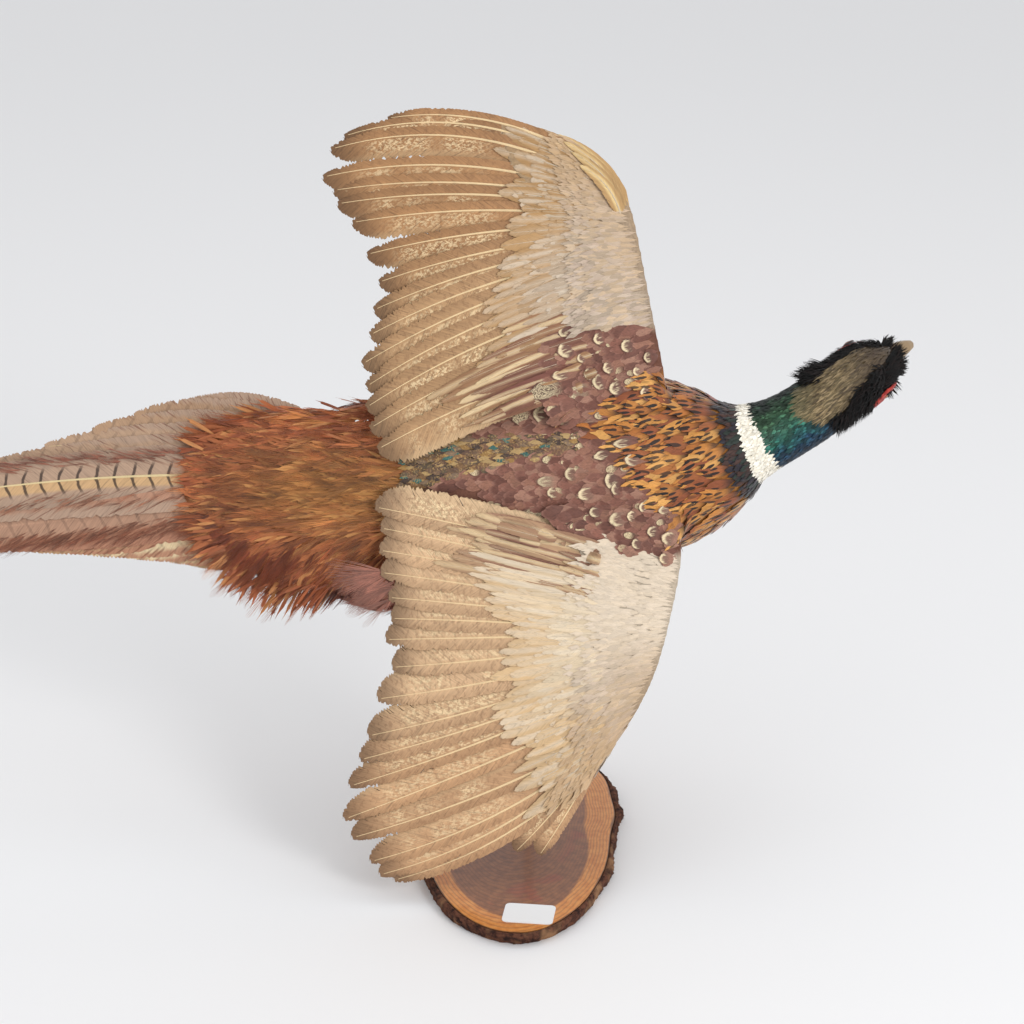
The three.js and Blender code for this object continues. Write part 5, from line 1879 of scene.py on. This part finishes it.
# %% Card, foot and rod
card = Finish("blank_card", Base_Color=paint4("E4E5E6"), Roughness=0.6)
label = nodes["stand_label"]
label.data.materials.clear()
label.data.materials.append(card.material)


def turned_post(name, replaced, radius, soft, material, slot):
    """A round post as tall as the solid it stands for, with softened edges."""
    low, high = (np.array(corner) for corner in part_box(replaced))
    middle, tall = (low + high) / 2, high[2] - low[2]
    post = bmesh.new()
    radii = {"radius1": radius * MM, "radius2": radius * MM}
    bmesh.ops.create_cone(post, cap_ends=True, segments=72, depth=tall, **radii)
    rims = [e for e in post.edges if len(e.link_faces) == 2 and e.calc_face_angle() > 1]
    soften = {"affect": "EDGES", "segments": 3, "profile": 0.5, "material": -1}
    bmesh.ops.bevel(post, geom=rims, offset=soft * MM, **soften)
    bmesh.ops.translate(post, verts=post.verts, vec=middle)
    post_mesh = mesh_of(post, name)
    post_mesh.shade_smooth()
    post_mesh.set_sharp_from_angle(angle=math.radians(40))
    finished(post_mesh, name, material, slot, replaced)


iron = Finish("blackened_iron", Base_Color=paint4("2A2A2C"), Roughness=0.5, Metallic=0.9)
iron.bump(iron.noise(iron.here(), 500.0, 3.0), 0.3, 0.3 * MM)
steel = Finish("rod_steel", Base_Color=paint4("8C8E90"), Roughness=0.32, Metallic=1.0)
turned_post("iron_foot", "stand_foot", 17, 1.2, iron.material, "blackened_iron")
turned_post("steel_rod", "stand_rod", 4, 0.4, steel.material, "rod_steel")

# %% The room: floor, lights and camera
floor_shape = bmesh.new()
bmesh.ops.create_grid(floor_shape, x_segments=1, y_segments=1, size=14)
floor_mesh = mesh_of(floor_shape, "floor")
floor = into_scene("floor", floor_mesh)
floor_finish = Finish("pale_floor", Base_Color=(0.84, 0.84, 0.845, 1), Roughness=0.7)
floor_mesh.materials.append(floor_finish.material)
LIT = Vector((0, 0, 0.3))  # where the lights point


def softbox(name, place, size, power):
    """A square light that faces the bird."""
    light = bpy.data.lights.new(name, "AREA")
    light.size = size
    light.energy = power
    lamp = into_scene(name, light)
    lamp.location = place
    aim = LIT - Vector(place)
    lamp.rotation_euler = aim.to_track_quat("-Z", "Y").to_euler()


softbox("key", (1.7, -2.4, 1.5), 0.9, 42)
softbox("fill", (-2.4, -1.8, 1.6), 2.0, 6)
softbox("top", (0, 0.8, 3.2), 2.5, 10)
world = bpy.data.worlds.new("studio")
world.use_nodes = True
world.node_tree.nodes["Background"].inputs["Color"].default_value = (0.95, 0.955, 0.97, 1)
world.node_tree.nodes["Background"].inputs["Strength"].default_value = 0.85
bpy.context.scene.world = world
bpy.context.scene.view_settings.view_transform = "Standard"

LOOK_DOWN = math.radians(19)
TARGET = Vector((-0.004, 0.07, 0.2605))
DISTANCE = 1.9
camera_data = bpy.data.cameras.new("camera")
camera_data.lens = 84.7
camera = into_scene("camera", camera_data)
camera.location = TARGET + Vector((0, -math.cos(LOOK_DOWN), math.sin(LOOK_DOWN))) * DISTANCE
camera.rotation_euler = (math.pi / 2 - LOOK_DOWN, 0, 0)
bpy.context.scene.camera = camera
